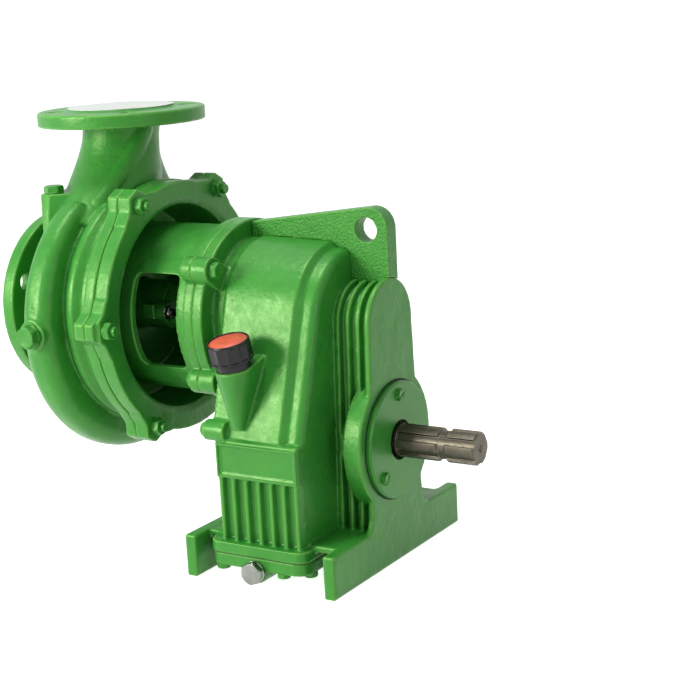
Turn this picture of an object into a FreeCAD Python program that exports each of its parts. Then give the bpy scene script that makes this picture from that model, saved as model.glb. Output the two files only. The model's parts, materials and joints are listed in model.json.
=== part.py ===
import FreeCAD, Part
import math
import os

# Centrifugal pump driven by a tractor through a step-up gearbox.
# Millimetres. X runs along both shafts towards the tractor, Y across, Z up.
# The origin is the centre of the sole of the foot bar at the tractor end.

V = FreeCAD.Vector
X_DIR, Y_DIR, Z_DIR = V(1, 0, 0), V(0, 1, 0), V(0, 0, 1)

# Shafts and gears
PTO_HEIGHT = 131.0
GEAR_MODULE = 2.5
DRIVE_TEETH = 80
PINION_TEETH = 20
PRESSURE_ANGLE = math.radians(20)
BACKLASH = 0.4
GEAR_WIDTH = 30.0
CENTRES = GEAR_MODULE * (DRIVE_TEETH + PINION_TEETH) / 2
PUMP_HEIGHT = PTO_HEIGHT + CENTRES

# Clearances
RUN = 0.05
SLIP = 0.3
HOLE_SLACK = 0.25

# Foot bars and the lengths between the main faces
FOOT_THICK = 13.5
FOOT_HEIGHT = 44.5
FOOT_HALF = 132.0
FOOT_SPAN = 168.0
END_FACE = FOOT_THICK / 2
END_THICK = 6.0
FLANGE_OVERHANG = 9.75
GEARBOX_LENGTH = FOOT_SPAN + FLANGE_OVERHANG
LANTERN_LENGTH = 97.0
MIDPLANE_OFFSET = 74.0
SUCTION_REACH = 90.0
GEARBOX_JOINT = END_FACE - GEARBOX_LENGTH
CASING_JOINT = GEARBOX_JOINT - LANTERN_LENGTH
MIDPLANE = CASING_JOINT - MIDPLANE_OFFSET
SUCTION_FACE = MIDPLANE - SUCTION_REACH

# Gearbox box, hood and ribs
BOX_END = -38.0
SUMP_MARGIN = 14.0
FOOT_GAP = 11.25
BOX_START = END_FACE - FOOT_SPAN + FOOT_GAP + SUMP_MARGIN
BOX_LENGTH = BOX_END - BOX_START
GEAR_MIDDLE = BOX_START + 40.0
BOX_HALF = 113.0
BOX_TOP = 146.0
BOX_BOTTOM = 41.0
BOX_WALL = 7.0
FIN_DEPTH = 7.0
FIN_COUNT = 7
FIN_ROOT = 7.0
FIN_TIP = 4.0
PANEL_BOTTOM = 108.0
PANEL_FRAME = 4.0
PANEL_RECESS = 1.5
HOOD_START = BOX_START - 7.0
HOOD_RADIUS = 82.0
HOOD_HALF = 118.0
HOOD_WALL = 8.0
RIM_START = -60.0
RIM_STEP = 6.0
RIM_TAPER = 3.0
RIM_ROUND = 8.0
SLAB_HALF = 40.0
SLAB_RADIUS = 34.0
RIB_COUNT = 3
RIB_THICK = 4.5
RIB_PITCH = 12.0
PLATE_RADIUS = 44.0
PLATE_HALF = 54.0
RIB_INSET = 3.0
BOSS_RADIUS = 73.0
BOSS_DEPTH = 19.75
BARREL_RADIUS = 46.0
REAR_BOSS_RADIUS = 48.0
REAR_CAP_THICK = 3.0
REAR_CAP_RECESS = 1.5
WEB_THICK = 7.0
WEB_HALF = 106.0

# Bottom flange, gasket and sump cover
SUMP_HALF = 126.0
SUMP_FLANGE_THICK = 12.0
SUMP_GASKET = 1.0
SUMP_COVER_THICK = 12.5
SUMP_FLOOR = 5.0
SUMP_CORNER = 14.0

# Bearings: bore, outside diameter and width
PTO_BEARING = (40.0, 80.0, 18.0)
PINION_BEARING = (30.0, 62.0, 16.0)
LANTERN_BEARING = (35.0, 72.0, 17.0)
ROLLER_COUNT = 10

# Shaft at the tractor end
SPLINE_MAJOR = 17.45
SPLINE_MINOR = 14.85
SPLINE_WIDTH = 8.7
SPLINE_TEETH = 6
SPLINE_GROOVE_BACK = 38.0
SPLINE_GROOVE_RADIUS = 14.7
SPLINE_GROOVE_HALF = 3.5
SHAFT_REACH = 104.5
SHAFT_CHAMFER = 3.0
SPLINE_START = 16.0
SEAL_SEAT = 17.5

# Cover of the tractor-end bearing
COVER_RADIUS = 61.4
COVER_PROUD = 6.0
COVER_HOLE = 21.0
COVER_SCREW_CIRCLE = 48.0
COVER_SCREW = 8.0
COVER_SCREW_LENGTH = 18.0
COVER_SCREW_FLATS = 12.0
COVER_SCREW_HEAD = 4.0
COVER_SCREW_ANGLES = (90, 222, 332)

# Joint between gearbox and lantern
TUBE_RADIUS = 90.5
LANTERN_FLANGE_RADIUS = TUBE_RADIUS + 8.5
LANTERN_FLANGE_THICK = 12.0
LANTERN_BOLT_CIRCLE = TUBE_RADIUS + 10.5
LANTERN_BOLT_ANGLES = (35, 145, 215, 325)
LANTERN_NUT_ANGLES = (35, 145)
LUG_EXTRA = 8.0
LANTERN_LUG = 14.0
SPIGOT_RADIUS = 76.0
SPIGOT_DEPTH = 4.0
NECK_RADIUS = 80.0
PUMP_SEAL_RADIUS = 26.0
PUMP_SEAL_WIDTH = 8.0

# Lantern tube, windows, dished back cover and stuffing box
TUBE_WALL = 8.0
WINDOW_HALF = 50.0
WINDOW_LENGTH = 58.0
DISH_OPENING = 119.0
DISH_DEPTH = 46.0
DISH_WALL = 8.0
RING_THICK = 17.0
RING_RADIUS = 137.0
RING_BOLT_CIRCLE = 138.0
RING_BOLT_COUNT = 6
RING_LUG = 16.0
HUB_RADIUS = 27.0
HUB_REACH = 6.0
HUB_END = CASING_JOINT + HUB_REACH
PACKING_OUTER = 25.0
SLEEVE_RADIUS = 19.0
PACKING_RINGS = 4
PACKING_WIDTH = 6.5

# Volute casing
CASING_FLANGE_THICK = 14.0
DRUM_RADIUS = 124.0
RIDGE_RISE = 6.0
RIDGE_HALF = 11.0
RIDGE_OFFSET = 39.0
IMPELLER_RADIUS = 105.0
VOLUTE_INNER = 100.0
VOLUTE_WALL = 7.0
VOLUTE_START_ANGLE = 120
VOLUTE_END_ANGLE = 390
VOLUTE_STEP = 45
VOLUTE_START_RADIUS = 141.0
VOLUTE_END_RADIUS = 172.0
VOLUTE_START_HALF = 16.0
VOLUTE_END_HALF = 35.0
VOLUTE_SHIFT = 2.0
VOLUTE_START_CORNER = 12.0
VOLUTE_END_CORNER = 33.0
DISCHARGE_BORE = 32.5
DISCHARGE_HEIGHT = 215.0
DISCHARGE_Y = 25.0
DISCHARGE_FLANGE_RADIUS = 92.5
DISCHARGE_FLANGE_THICK = 17.5
DISCHARGE_BOLT_CIRCLE = 72.5
DISCHARGE_HOLES = 4
OUTLET_STRAIGHT = 22.0
NECK_OUTER = 47.0
SUCTION_BORE = 40.0
SUCTION_FLANGE_RADIUS = 100.0
SUCTION_FLANGE_THICK = 18.0
SUCTION_BOLT_CIRCLE = 80.0
SUCTION_HOLES = 8
FLANGE_HOLE = 9.0
RAISED_FACE = 2.0
FACE_MARGIN = 13.0
PORT_COVER_THICK = 1.2

# Small fittings
CASE_BOLT = 10.0
CASE_BOLT_FLATS = 17.0
PLUG_FLATS = 19.0
TOP_PLUG_STEM = 8.0
TOP_BOSS = 13.5
SIDE_PLUG_STEM = 9.0
SIDE_PLUG_GROWTH = 0.4
SIDE_PLUG_SINK = 0.4
SIDE_BOSS = 17.0
NECK_PLUG_STEM = 5.0
NECK_BOSS = 9.0
NECK_PLUG_FLATS = 13.0
SIDE_PLUG_FLATS = 22.0
FILLER_X = BOX_START + 29.0
FILLER_Y = -118.5
FILLER_FOOT = 160.0
FILLER_FOOT_RADIUS = 7.0
FILLER_REACH = 30.0
FILLER_TOP = 225.5
FILLER_RADIUS = 20.5
FILLER_LEAN = 12.0
FILLER_TILT = -3.5
FILLER_BORE = 13.0
FILLER_DEPTH = 12.0
OIL_WAY = 6.0
COLLAR_RADIUS = 18.0
COLLAR_HEIGHT = 6.0
CAP_RADIUS = 22.5
CAP_HEIGHT = 21.5
CAP_STEM = 10.0
CAP_SEAL = 1.5
LIFT_THICK = 18.5
LIFT_START = GEARBOX_JOINT + 12.5
LIFT_RISE = 374.0
LIFT_LOW = 352.0
LIFT_HOLE = 12.5
LIFT_HOLE_BACK = 25.0
LIFT_CORNER = 21.0
DRAIN_X = BOX_START + 44.0
DRAIN_HEIGHT = 14.0
DRAIN_FLATS = 22.0
DRAIN_HEAD = 7.0
DRAIN_STEM = 6.0
DRAIN_LENGTH = 12.0
DRAIN_WASHER = 1.5
DRAIN_COLLAR = 2.0
LEVEL_STEM = 5.0
LEVEL_LENGTH = 12.0
LEVEL_FLATS = 14.0
LEVEL_HEAD = 5.0
LEVEL_BOSS = 11.0
LEVEL_BOSS_LENGTH = 14.0
LEVEL_RISE = 9.0
SUMP_SCREW = 8.0
SUMP_SCREW_FLATS = 13.0
SUMP_SCREW_HEAD = 5.3
SUMP_SCREW_EDGE = 7.5


# Basic solids

def rod_x(radius, x0, x1, y=0.0, z=0.0):
    return Part.makeCylinder(radius, x1 - x0, V(x0, y, z), X_DIR)


def rod_y(radius, y0, y1, x=0.0, z=0.0):
    return Part.makeCylinder(radius, y1 - y0, V(x, y0, z), Y_DIR)


def rod_z(radius, z0, z1, x=0.0, y=0.0):
    return Part.makeCylinder(radius, z1 - z0, V(x, y, z0), Z_DIR)


def block(x0, x1, y0, y1, z0, z1):
    return Part.makeBox(x1 - x0, y1 - y0, z1 - z0, V(x0, y0, z0))


def prism(points, along):
    return Part.Face(Part.makePolygon(points + points[:1])).extrude(along)


def prism_x(outline, x0, x1):
    return prism([V(x0, y, z) for y, z in outline], V(x1 - x0, 0, 0))


def prism_y(outline, y0, y1):
    return prism([V(x, y0, z) for x, z in outline], V(0, y1 - y0, 0))


def prism_z(outline, z0, z1):
    return prism([V(x, y, z0) for x, y in outline], V(0, 0, z1 - z0))


def turned(outline, height):
    """Solid of revolution about the shaft line at a height, from (x, radius) points."""
    points = [V(x, 0, height + radius) for x, radius in outline]
    face = Part.Face(Part.makePolygon(points + points[:1]))
    return face.revolve(V(0, 0, height), X_DIR, 360)


def ring_x(outer, inner, x0, x1, z, y=0.0):
    return rod_x(outer, x0, x1, y, z).cut(rod_x(inner, x0 - 1, x1 + 1, y, z))


def ring_z(outer, inner, z0, z1, x, y):
    return rod_z(outer, z0, z1, x, y).cut(rod_z(inner, z0 - 1, z1 + 1, x, y))


def hexagon(flats, length, base, along):
    """Six-sided prism standing on a base point."""
    corner = flats / math.sqrt(3)
    across = Z_DIR if abs(along.dot(Z_DIR)) < 0.5 else X_DIR
    side = along.cross(across)
    turns = [math.radians(30 + 60 * k) for k in range(6)]
    points = [base + across * (corner * math.cos(t)) + side * (corner * math.sin(t)) for t in turns]
    body = prism(points, along * length)
    cone = Part.makeCone(corner * 1.12, corner * 0.94, length, base, along)
    return body.common(cone)


def bolt(base, along, size, shank, flats, head):
    """Hexagon screw: the head leaves the base point, the shank goes the other way."""
    stem = Part.makeCylinder(size / 2, shank, base, along * -1)
    return hexagon(flats, head, base, along).fuse(stem)


def joined(shapes):
    return shapes[0].fuse(shapes[1:]).removeSplitter()


def on_circle(radius, degrees, x, height):
    turn = math.radians(degrees)
    return V(x, radius * math.cos(turn), height + radius * math.sin(turn))


def even_angles(count, first=0.0):
    return [first + 360.0 * k / count for k in range(count)]


def lug(radius, angle, x0, x1, circle):
    """Round bolt lug with a root that runs back to the shaft line's side."""
    centre = on_circle(circle, angle, x0, PUMP_HEIGHT)
    head = Part.makeCylinder(radius, x1 - x0, centre, X_DIR)
    root = block(x0, x1, circle - 3 * radius, circle, -radius, radius)
    root.rotate(V(0, 0, 0), X_DIR, angle)
    root.translate(V(0, 0, PUMP_HEIGHT))
    return head.fuse(root)


def angular_lug(angle, x0, x1, inner):
    """Bolt lug of the ring joint: straight flanks, bevelled shoulders and a flat top."""
    half = RING_LUG
    foot = 1.9 * half
    outline = [(inner, -foot), (RING_RADIUS - 2, -foot), (RING_BOLT_CIRCLE + half / 4, -half)]
    outline += [(RING_BOLT_CIRCLE + half, -half / 2), (RING_BOLT_CIRCLE + half, half / 2)]
    outline += [(RING_BOLT_CIRCLE + half / 4, half), (RING_RADIUS - 2, foot), (inner, foot)]
    body = prism_x(outline, x0, x1)
    body.rotate(V(0, 0, 0), X_DIR, angle)
    body.translate(V(0, 0, PUMP_HEIGHT))
    return body


def rounded(shape, radius, wanted):
    """Fillet the edges whose middle point satisfies a test."""
    edges = [e for e in shape.Edges if wanted(e.CenterOfMass)]
    return shape.makeFillet(radius, edges)


def export(name, shape):
    shape.exportStep(f"parts/{name}.step")


# Gearbox casting

def hood_section(x, radius, half):
    """Arc over the pump shaft with two sides running down to the box."""
    drop = BOX_TOP - PUMP_HEIGHT
    reach = math.hypot(half, drop)
    turn = math.atan2(drop, half) + math.acos(radius / reach)
    touch = V(x, radius * math.cos(turn), PUMP_HEIGHT + radius * math.sin(turn))
    mirror = V(x, -touch.y, touch.z)
    foot = V(x, half, BOX_TOP)
    other = V(x, -half, BOX_TOP)
    arc = Part.Arc(touch, V(x, 0, PUMP_HEIGHT + radius), mirror).toShape()
    sides = [Part.makeLine(other, foot), Part.makeLine(foot, touch), arc, Part.makeLine(mirror, other)]
    return Part.Wire(sides)


def hood_block(stations):
    return Part.makeLoft([hood_section(*s) for s in stations], True, True)


def hood_outside():
    step = RIM_STEP
    small = HOOD_RADIUS - RIM_TAPER - step
    narrow = HOOD_HALF - step
    body = hood_block([
        (HOOD_START, HOOD_RADIUS, HOOD_HALF - 2),
        (RIM_START, HOOD_RADIUS - RIM_TAPER, HOOD_HALF),
        (RIM_START + step, small, narrow),
        (BOX_END, small - 1, narrow),
    ])
    return rounded(body, RIM_ROUND, lambda c: abs(c.x - BOX_END) < 0.01 and c.z > BOX_TOP + 1)


def end_outline(x0, x1, radius, half, bottom):
    """Slab with a round top on the pump shaft line, widening towards its foot."""
    top = rod_x(radius, x0, x1, 0, PUMP_HEIGHT)
    outline = [(-half, bottom), (half, bottom), (radius, PUMP_HEIGHT), (-radius, PUMP_HEIGHT)]
    return top.fuse(prism_x(outline, x0, x1))


def side_fins():
    """Vertical cooling fins under a bare framed panel, on both long sides of the box."""
    pieces = []
    pitch = (BOX_LENGTH - FIN_ROOT) / (FIN_COUNT - 1)
    face = BOX_HALF + FIN_DEPTH
    for side in (-1, 1):
        near, far = side * (BOX_HALF - 1), side * face
        for k in range(FIN_COUNT):
            middle = BOX_START + FIN_ROOT / 2 + k * pitch
            outline = [
                (middle - FIN_ROOT / 2, near),
                (middle + FIN_ROOT / 2, near),
                (middle + FIN_TIP / 2, far),
                (middle - FIN_TIP / 2, far),
            ]
            pieces.append(prism_z(outline, BOX_BOTTOM - 1, PANEL_BOTTOM + PANEL_FRAME / 2))
        low, high = sorted((near, far))
        panel = block(BOX_START, BOX_END, low, high, PANEL_BOTTOM, BOX_TOP - 1)
        low, high = sorted((side * (face - PANEL_RECESS), side * (face + 1)))
        x0, x1 = BOX_START + PANEL_FRAME, BOX_END - PANEL_FRAME
        pieces.append(panel.cut(block(x0, x1, low, high, PANEL_BOTTOM + PANEL_FRAME, BOX_TOP - PANEL_FRAME)))
    return pieces


def foot_bar(face):
    bar = block(face - FOOT_THICK, face, -FOOT_HALF, FOOT_HALF, 0, FOOT_HEIGHT)
    return rounded(bar, 2.5, lambda c: abs(abs(c.y) - FOOT_HALF) < 0.01 and abs(c.z - FOOT_HEIGHT / 2) < 1)


def foot_cove(side):
    """Concave corner between the end plate and the foot bar."""
    size = 12.0
    corner = side * PLATE_HALF
    low, high = sorted((corner - side * 2, corner + side * size))
    fill = block(END_FACE - END_THICK, END_FACE, low, high, FOOT_HEIGHT - 1, FOOT_HEIGHT + size)
    scoop = rod_x(size, END_FACE - END_THICK - 1, END_FACE + 1, corner + side * size, FOOT_HEIGHT + size)
    return fill.cut(scoop)


def tilted(shape):
    """Leans a piece of the filler outwards and towards the pump."""
    pivot = V(FILLER_X, FILLER_Y, FILLER_TOP)
    shape.rotate(pivot, X_DIR, FILLER_LEAN)
    shape.rotate(pivot, Y_DIR, FILLER_TILT)
    return shape


def round_nose(radius, reach, x, y, z):
    """Level outline with a round front, whose straight sides run back into the hood."""
    left, right = x - radius, x + radius
    nose = Part.Arc(V(left, y, z), V(x, y - radius, z), V(right, y, z)).toShape()
    return Part.Wire([
        Part.makeLine(V(left, y + reach, z), V(left, y, z)),
        nose,
        Part.makeLine(V(right, y, z), V(right, y + reach, z)),
        Part.makeLine(V(right, y + reach, z), V(left, y + reach, z)),
    ])


def filler_neck():
    """Spout that grows out of the hood's side up to the tilted seat of the collar."""
    foot_y = FILLER_Y + 4.5
    foot = round_nose(FILLER_FOOT_RADIUS, FILLER_REACH / 2, FILLER_X - 2, foot_y, FILLER_FOOT)
    seat = tilted(round_nose(FILLER_RADIUS, FILLER_REACH, FILLER_X, FILLER_Y, FILLER_TOP))
    return Part.makeLoft([foot, seat], True, True)


def lantern_flange(x0, x1):
    pieces = [rod_x(LANTERN_FLANGE_RADIUS, x0, x1, 0, PUMP_HEIGHT)]
    for angle in LANTERN_BOLT_ANGLES:
        pieces.append(lug(LANTERN_LUG, angle, x0, x1, LANTERN_BOLT_CIRCLE))
    return joined(pieces)


def bolt_holes(circle, angles, size, x0, x1):
    radius = size / 2 + HOLE_SLACK
    return [Part.makeCylinder(radius, x1 - x0, on_circle(circle, a, x0, PUMP_HEIGHT), X_DIR) for a in angles]


def sump_plate(z0, z1, inset):
    x0 = BOX_START - SUMP_MARGIN + inset
    x1 = BOX_END + SUMP_MARGIN / 2 - inset
    half = SUMP_HALF - inset
    plate = block(x0, x1, -half, half, z0, z1)
    return rounded(plate, SUMP_CORNER, lambda c: abs(c.z - (z0 + z1) / 2) < 0.01)


def sump_opening(z0, z1):
    wall = BOX_WALL
    return block(BOX_START + wall, BOX_END - wall, wall - BOX_HALF, BOX_HALF - wall, z0, z1)


SUMP_FLANGE_FACE = BOX_BOTTOM - SUMP_FLANGE_THICK
COVER_TOP = SUMP_FLANGE_FACE - SUMP_GASKET
COVER_BOTTOM = COVER_TOP - SUMP_COVER_THICK
DRAIN_FACE = 1.0 - SUMP_HALF


def sump_screw_places():
    left = BOX_START - SUMP_MARGIN + SUMP_SCREW_EDGE
    right = BOX_END + SUMP_MARGIN / 2 - SUMP_SCREW_EDGE
    edge = SUMP_HALF - SUMP_SCREW_EDGE
    places = []
    for side in (-1, 1):
        places.append((BOX_START, side * edge))
        places.append((BOX_START + 0.76 * BOX_LENGTH, side * edge))
        places.append((right, side * (edge - 14)))
        places.append((right, side * edge * 0.35))
        places.append((left, side * edge * 0.35))
    return places


def pto_bearing_seat():
    return END_FACE - 8.0


def rear_bearing_seat():
    return BOX_START + 5.0


def rear_cap_face():
    return HOOD_START - 3.0


def lantern_bearing_seat():
    return GEARBOX_JOINT + 14.0


def gearbox_casing():
    barrel = rod_x(BARREL_RADIUS, BOX_END - 1, END_FACE, 0, PTO_HEIGHT)
    boss = rod_x(BOSS_RADIUS, END_FACE - BOSS_DEPTH, END_FACE, 0, PTO_HEIGHT)
    slab = end_outline(BOX_END - 1, END_FACE - 1, SLAB_RADIUS, SLAB_HALF, BOX_BOTTOM)
    plate = end_outline(END_FACE - END_THICK, END_FACE, PLATE_RADIUS, PLATE_HALF, FOOT_HEIGHT / 2)
    pieces = [hood_outside(), barrel, boss, slab, plate]
    for k in range(RIB_COUNT):
        x = END_FACE - END_THICK - RIB_PITCH * (k + 1) + RIB_THICK
        radius = PLATE_RADIUS - RIB_INSET
        pieces.append(end_outline(x - RIB_THICK, x, radius, PLATE_HALF - RIB_INSET, BOX_BOTTOM))
    box = block(BOX_START, BOX_END, -BOX_HALF, BOX_HALF, BOX_BOTTOM - 1, BOX_TOP)
    ledge = block(BOX_START, BOX_END, -BOX_HALF - FIN_DEPTH, BOX_HALF + FIN_DEPTH, BOX_TOP - 3, BOX_TOP + 2)
    pieces += [box, rounded(ledge, 2.4, lambda c: abs(abs(c.y) - BOX_HALF - FIN_DEPTH) < 0.01)]
    pieces += side_fins()
    pieces.append(sump_plate(SUMP_FLANGE_FACE, BOX_BOTTOM, 0.0))
    far_face = END_FACE - FOOT_SPAN
    pieces += [foot_bar(END_FACE), foot_bar(far_face), foot_cove(-1), foot_cove(1)]
    web_top = FOOT_HEIGHT - 0.5
    pieces.append(block(BOX_END - 1, -END_FACE + 1, -WEB_HALF, WEB_HALF, web_top - WEB_THICK, web_top))
    pieces.append(block(far_face - 1, BOX_START + 1, -WEB_HALF, WEB_HALF, web_top - WEB_THICK, web_top))
    pieces.append(rod_x(NECK_RADIUS, GEARBOX_JOINT + 1, HOOD_START + 1, 0, PUMP_HEIGHT))
    flange_face = GEARBOX_JOINT + LANTERN_FLANGE_THICK
    pieces.append(lantern_flange(GEARBOX_JOINT, flange_face))
    for angle in LANTERN_BOLT_ANGLES:
        pieces.append(lug(LANTERN_LUG, angle, GEARBOX_JOINT, flange_face + LUG_EXTRA, LANTERN_BOLT_CIRCLE))
    rear = rod_x(REAR_BOSS_RADIUS, rear_cap_face(), BOX_START + 1, 0, PTO_HEIGHT)
    level = (1 - BOX_HALF, BOX_TOP + LEVEL_RISE)
    level_boss = rod_x(LEVEL_BOSS, BOX_START - LEVEL_BOSS_LENGTH, BOX_START + 12, *level)
    pieces += [rear, level_boss, filler_neck()]
    cast = joined(pieces).cut(gearbox_hollows())
    seat = rear_bearing_seat()
    carrier = ring_x(REAR_BOSS_RADIUS, PTO_BEARING[1] / 2, seat, seat + PTO_BEARING[2], PTO_HEIGHT)
    return cast.fuse(carrier).removeSplitter()


def gearbox_hollows():
    """Gear chamber, bearing seats, oil holes and screw holes."""
    wall = BOX_WALL
    chamber = sump_opening(SUMP_FLANGE_FACE - 1, BOX_TOP + 0.5)
    attic = hood_block([
        (BOX_START + wall, HOOD_RADIUS - HOOD_WALL, HOOD_HALF - HOOD_WALL - 4),
        (RIM_START - 3, HOOD_RADIUS - HOOD_WALL - 4, HOOD_HALF - HOOD_WALL - 4),
    ])
    hollows = [chamber, attic]
    outer, width = PTO_BEARING[1:]
    seat = pto_bearing_seat()
    hollows.append(rod_x(outer / 2, seat - width, END_FACE + 1, 0, PTO_HEIGHT))
    hollows.append(rod_x(outer / 2 - 8, RIM_START - 4, seat - width + 1, 0, PTO_HEIGHT))
    hollows.append(rod_x(outer / 2, rear_cap_face() - 1, BOX_START + wall + 1, 0, PTO_HEIGHT))
    small = PINION_BEARING[1] / 2
    hollows.append(rod_x(small, RIM_START - 4, RIM_START - 3 + PINION_BEARING[2], 0, PUMP_HEIGHT))
    large = LANTERN_BEARING[1] / 2
    hollows.append(rod_x(large, GEARBOX_JOINT - 1, BOX_START + wall + 1, 0, PUMP_HEIGHT))
    spigot_end = GEARBOX_JOINT + SPIGOT_DEPTH + SLIP
    hollows.append(rod_x(SPIGOT_RADIUS + SLIP, GEARBOX_JOINT - 1, spigot_end, 0, PUMP_HEIGHT))
    start, end = GEARBOX_JOINT - 1, HOOD_START - 1
    hollows += bolt_holes(LANTERN_BOLT_CIRCLE, LANTERN_BOLT_ANGLES, CASE_BOLT, start, end)
    for angle in COVER_SCREW_ANGLES:
        start = on_circle(COVER_SCREW_CIRCLE, angle, END_FACE - COVER_SCREW_LENGTH + 4, PTO_HEIGHT)
        hollows.append(Part.makeCylinder(COVER_SCREW / 2 + HOLE_SLACK, COVER_SCREW_LENGTH, start, X_DIR))
    for x, y in sump_screw_places():
        hollows.append(rod_z(SUMP_SCREW / 2 + HOLE_SLACK, SUMP_FLANGE_FACE - 1, BOX_BOTTOM - 2, x, y))
    level = (1 - BOX_HALF, BOX_TOP + LEVEL_RISE)
    start = BOX_START - LEVEL_BOSS_LENGTH - 1
    hollows.append(rod_x(LEVEL_STEM + HOLE_SLACK, start, BOX_START + 11, *level))
    oil_way = FILLER_TOP - FILLER_DEPTH + 1
    hollows.append(tilted(rod_z(FILLER_BORE, FILLER_TOP - FILLER_DEPTH, FILLER_TOP + 1, FILLER_X, FILLER_Y)))
    hollows.append(rod_y(OIL_WAY, FILLER_Y, FILLER_Y + 38, FILLER_X, oil_way))
    return hollows


def lifting_plate(casing):
    """Thick plate with an eye, standing on the hood and the end slab."""
    right = END_FACE
    low = PUMP_HEIGHT + PLATE_RADIUS / 2
    outline = [(LIFT_START, low), (right, low), (right, LIFT_RISE), (LIFT_START, LIFT_LOW)]
    plate = prism_y(outline, 0, LIFT_THICK)
    plate = rounded(plate, LIFT_CORNER, lambda c: abs(c.x - right) < 0.01 and abs(c.z - LIFT_RISE) < 0.01)
    centre = (right - LIFT_HOLE_BACK, LIFT_RISE - 26)
    plate = plate.cut(rod_y(LIFT_HOLE, -1, LIFT_THICK + 1, *centre))
    inner = hood_block([
        (BOX_START, HOOD_RADIUS - HOOD_WALL / 2, HOOD_HALF - HOOD_WALL),
        (BOX_END - 4, HOOD_RADIUS - HOOD_WALL - 8, HOOD_HALF - HOOD_WALL - 4),
    ])
    plate = plate.cut([casing, inner])
    return max(plate.Solids, key=lambda s: s.Volume)


# Sump cover and its fittings

def sump_cover():
    cover = sump_plate(COVER_BOTTOM, COVER_TOP, 1.0)
    boss = rod_y(DRAIN_HEIGHT - 1, DRAIN_FACE, DRAIN_FACE + 30, DRAIN_X, DRAIN_HEIGHT)
    cover = cover.fuse(boss)
    cuts = [sump_opening(COVER_BOTTOM + SUMP_FLOOR, COVER_TOP + 1)]
    start, end = DRAIN_FACE - 1, DRAIN_FACE + DRAIN_LENGTH + 1
    cuts.append(rod_y(DRAIN_STEM + HOLE_SLACK, start, end, DRAIN_X, DRAIN_HEIGHT))
    for x, y in sump_screw_places():
        cuts.append(rod_z(SUMP_SCREW / 2 + HOLE_SLACK, COVER_BOTTOM - 1, COVER_TOP + 1, x, y))
    return cover.cut(cuts).removeSplitter()


def sump_gasket():
    gasket = sump_plate(COVER_TOP, SUMP_FLANGE_FACE, 0.5)
    cuts = [sump_opening(COVER_TOP - 1, SUMP_FLANGE_FACE + 1)]
    for x, y in sump_screw_places():
        cuts.append(rod_z(SUMP_SCREW / 2 + HOLE_SLACK, COVER_TOP - 1, SUMP_FLANGE_FACE + 1, x, y))
    return gasket.cut(cuts)


def sump_screws():
    down = Z_DIR * -1
    shank = SUMP_COVER_THICK + SUMP_GASKET + SUMP_FLANGE_THICK - 3
    screws = [bolt(V(x, y, COVER_BOTTOM), down, SUMP_SCREW, shank,
                   SUMP_SCREW_FLATS, SUMP_SCREW_HEAD) for x, y in sump_screw_places()]
    return Part.makeCompound(screws)


def drain_washer():
    outer = DRAIN_FLATS / 2 + 0.5
    washer = rod_y(outer, DRAIN_FACE - DRAIN_WASHER, DRAIN_FACE, DRAIN_X, DRAIN_HEIGHT)
    return washer.cut(rod_y(DRAIN_STEM + HOLE_SLACK, DRAIN_FACE - 2, DRAIN_FACE + 1, DRAIN_X, DRAIN_HEIGHT))


def drain_plug():
    face = DRAIN_FACE - DRAIN_WASHER
    head = hexagon(DRAIN_FLATS, DRAIN_HEAD, V(DRAIN_X, face - DRAIN_COLLAR, DRAIN_HEIGHT), Y_DIR * -1)
    collar = rod_y(DRAIN_FLATS / 2 + 1, face - DRAIN_COLLAR, face, DRAIN_X, DRAIN_HEIGHT)
    stem = rod_y(DRAIN_STEM, face, face + DRAIN_LENGTH, DRAIN_X, DRAIN_HEIGHT)
    return joined([head, collar, stem])


def level_plug():
    face = BOX_START - LEVEL_BOSS_LENGTH
    y, z = 1 - BOX_HALF, BOX_TOP + LEVEL_RISE
    head = hexagon(LEVEL_FLATS, LEVEL_HEAD, V(face, y, z), X_DIR * -1)
    return head.fuse(rod_x(LEVEL_STEM, face, face + LEVEL_LENGTH, y, z))


# Cap over the rear bearing of the tractor shaft

def rear_bearing_cap():
    """Cup pressed into the bore behind the bearing."""
    face = rear_cap_face() + REAR_CAP_RECESS
    inside = face + REAR_CAP_THICK
    outer = PTO_BEARING[1] / 2
    return turned([
        (face, 0),
        (face, outer - 2),
        (face + 2, outer),
        (rear_bearing_seat(), outer),
        (rear_bearing_seat(), outer - REAR_CAP_THICK),
        (inside, outer - REAR_CAP_THICK),
        (inside, 0),
    ], PTO_HEIGHT)


# Tractor-end cover, seal and shaft

def bearing_cover():
    seat = pto_bearing_seat()
    face = END_FACE + COVER_PROUD
    register = PTO_BEARING[1] / 2 - SLIP
    cover = turned([
        (END_FACE, SEAL_SEAT + 11),
        (END_FACE, COVER_HOLE + RUN),
        (face, COVER_HOLE + RUN),
        (face, COVER_RADIUS - 2),
        (face - 2, COVER_RADIUS),
        (END_FACE, COVER_RADIUS),
        (END_FACE, register),
        (seat, register),
        (seat, SEAL_SEAT + 11),
    ], PTO_HEIGHT)
    holes = []
    for angle in COVER_SCREW_ANGLES:
        start = on_circle(COVER_SCREW_CIRCLE, angle, END_FACE - 1, PTO_HEIGHT)
        holes.append(Part.makeCylinder(COVER_SCREW / 2 + HOLE_SLACK, COVER_PROUD + 2, start, X_DIR))
    return cover.cut(holes)


def cover_screws():
    face = END_FACE + COVER_PROUD
    screws = []
    for angle in COVER_SCREW_ANGLES:
        screws.append(bolt(on_circle(COVER_SCREW_CIRCLE, angle, face, PTO_HEIGHT), X_DIR, COVER_SCREW,
                           COVER_SCREW_LENGTH, COVER_SCREW_FLATS, COVER_SCREW_HEAD))
    return Part.makeCompound(screws)


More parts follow.
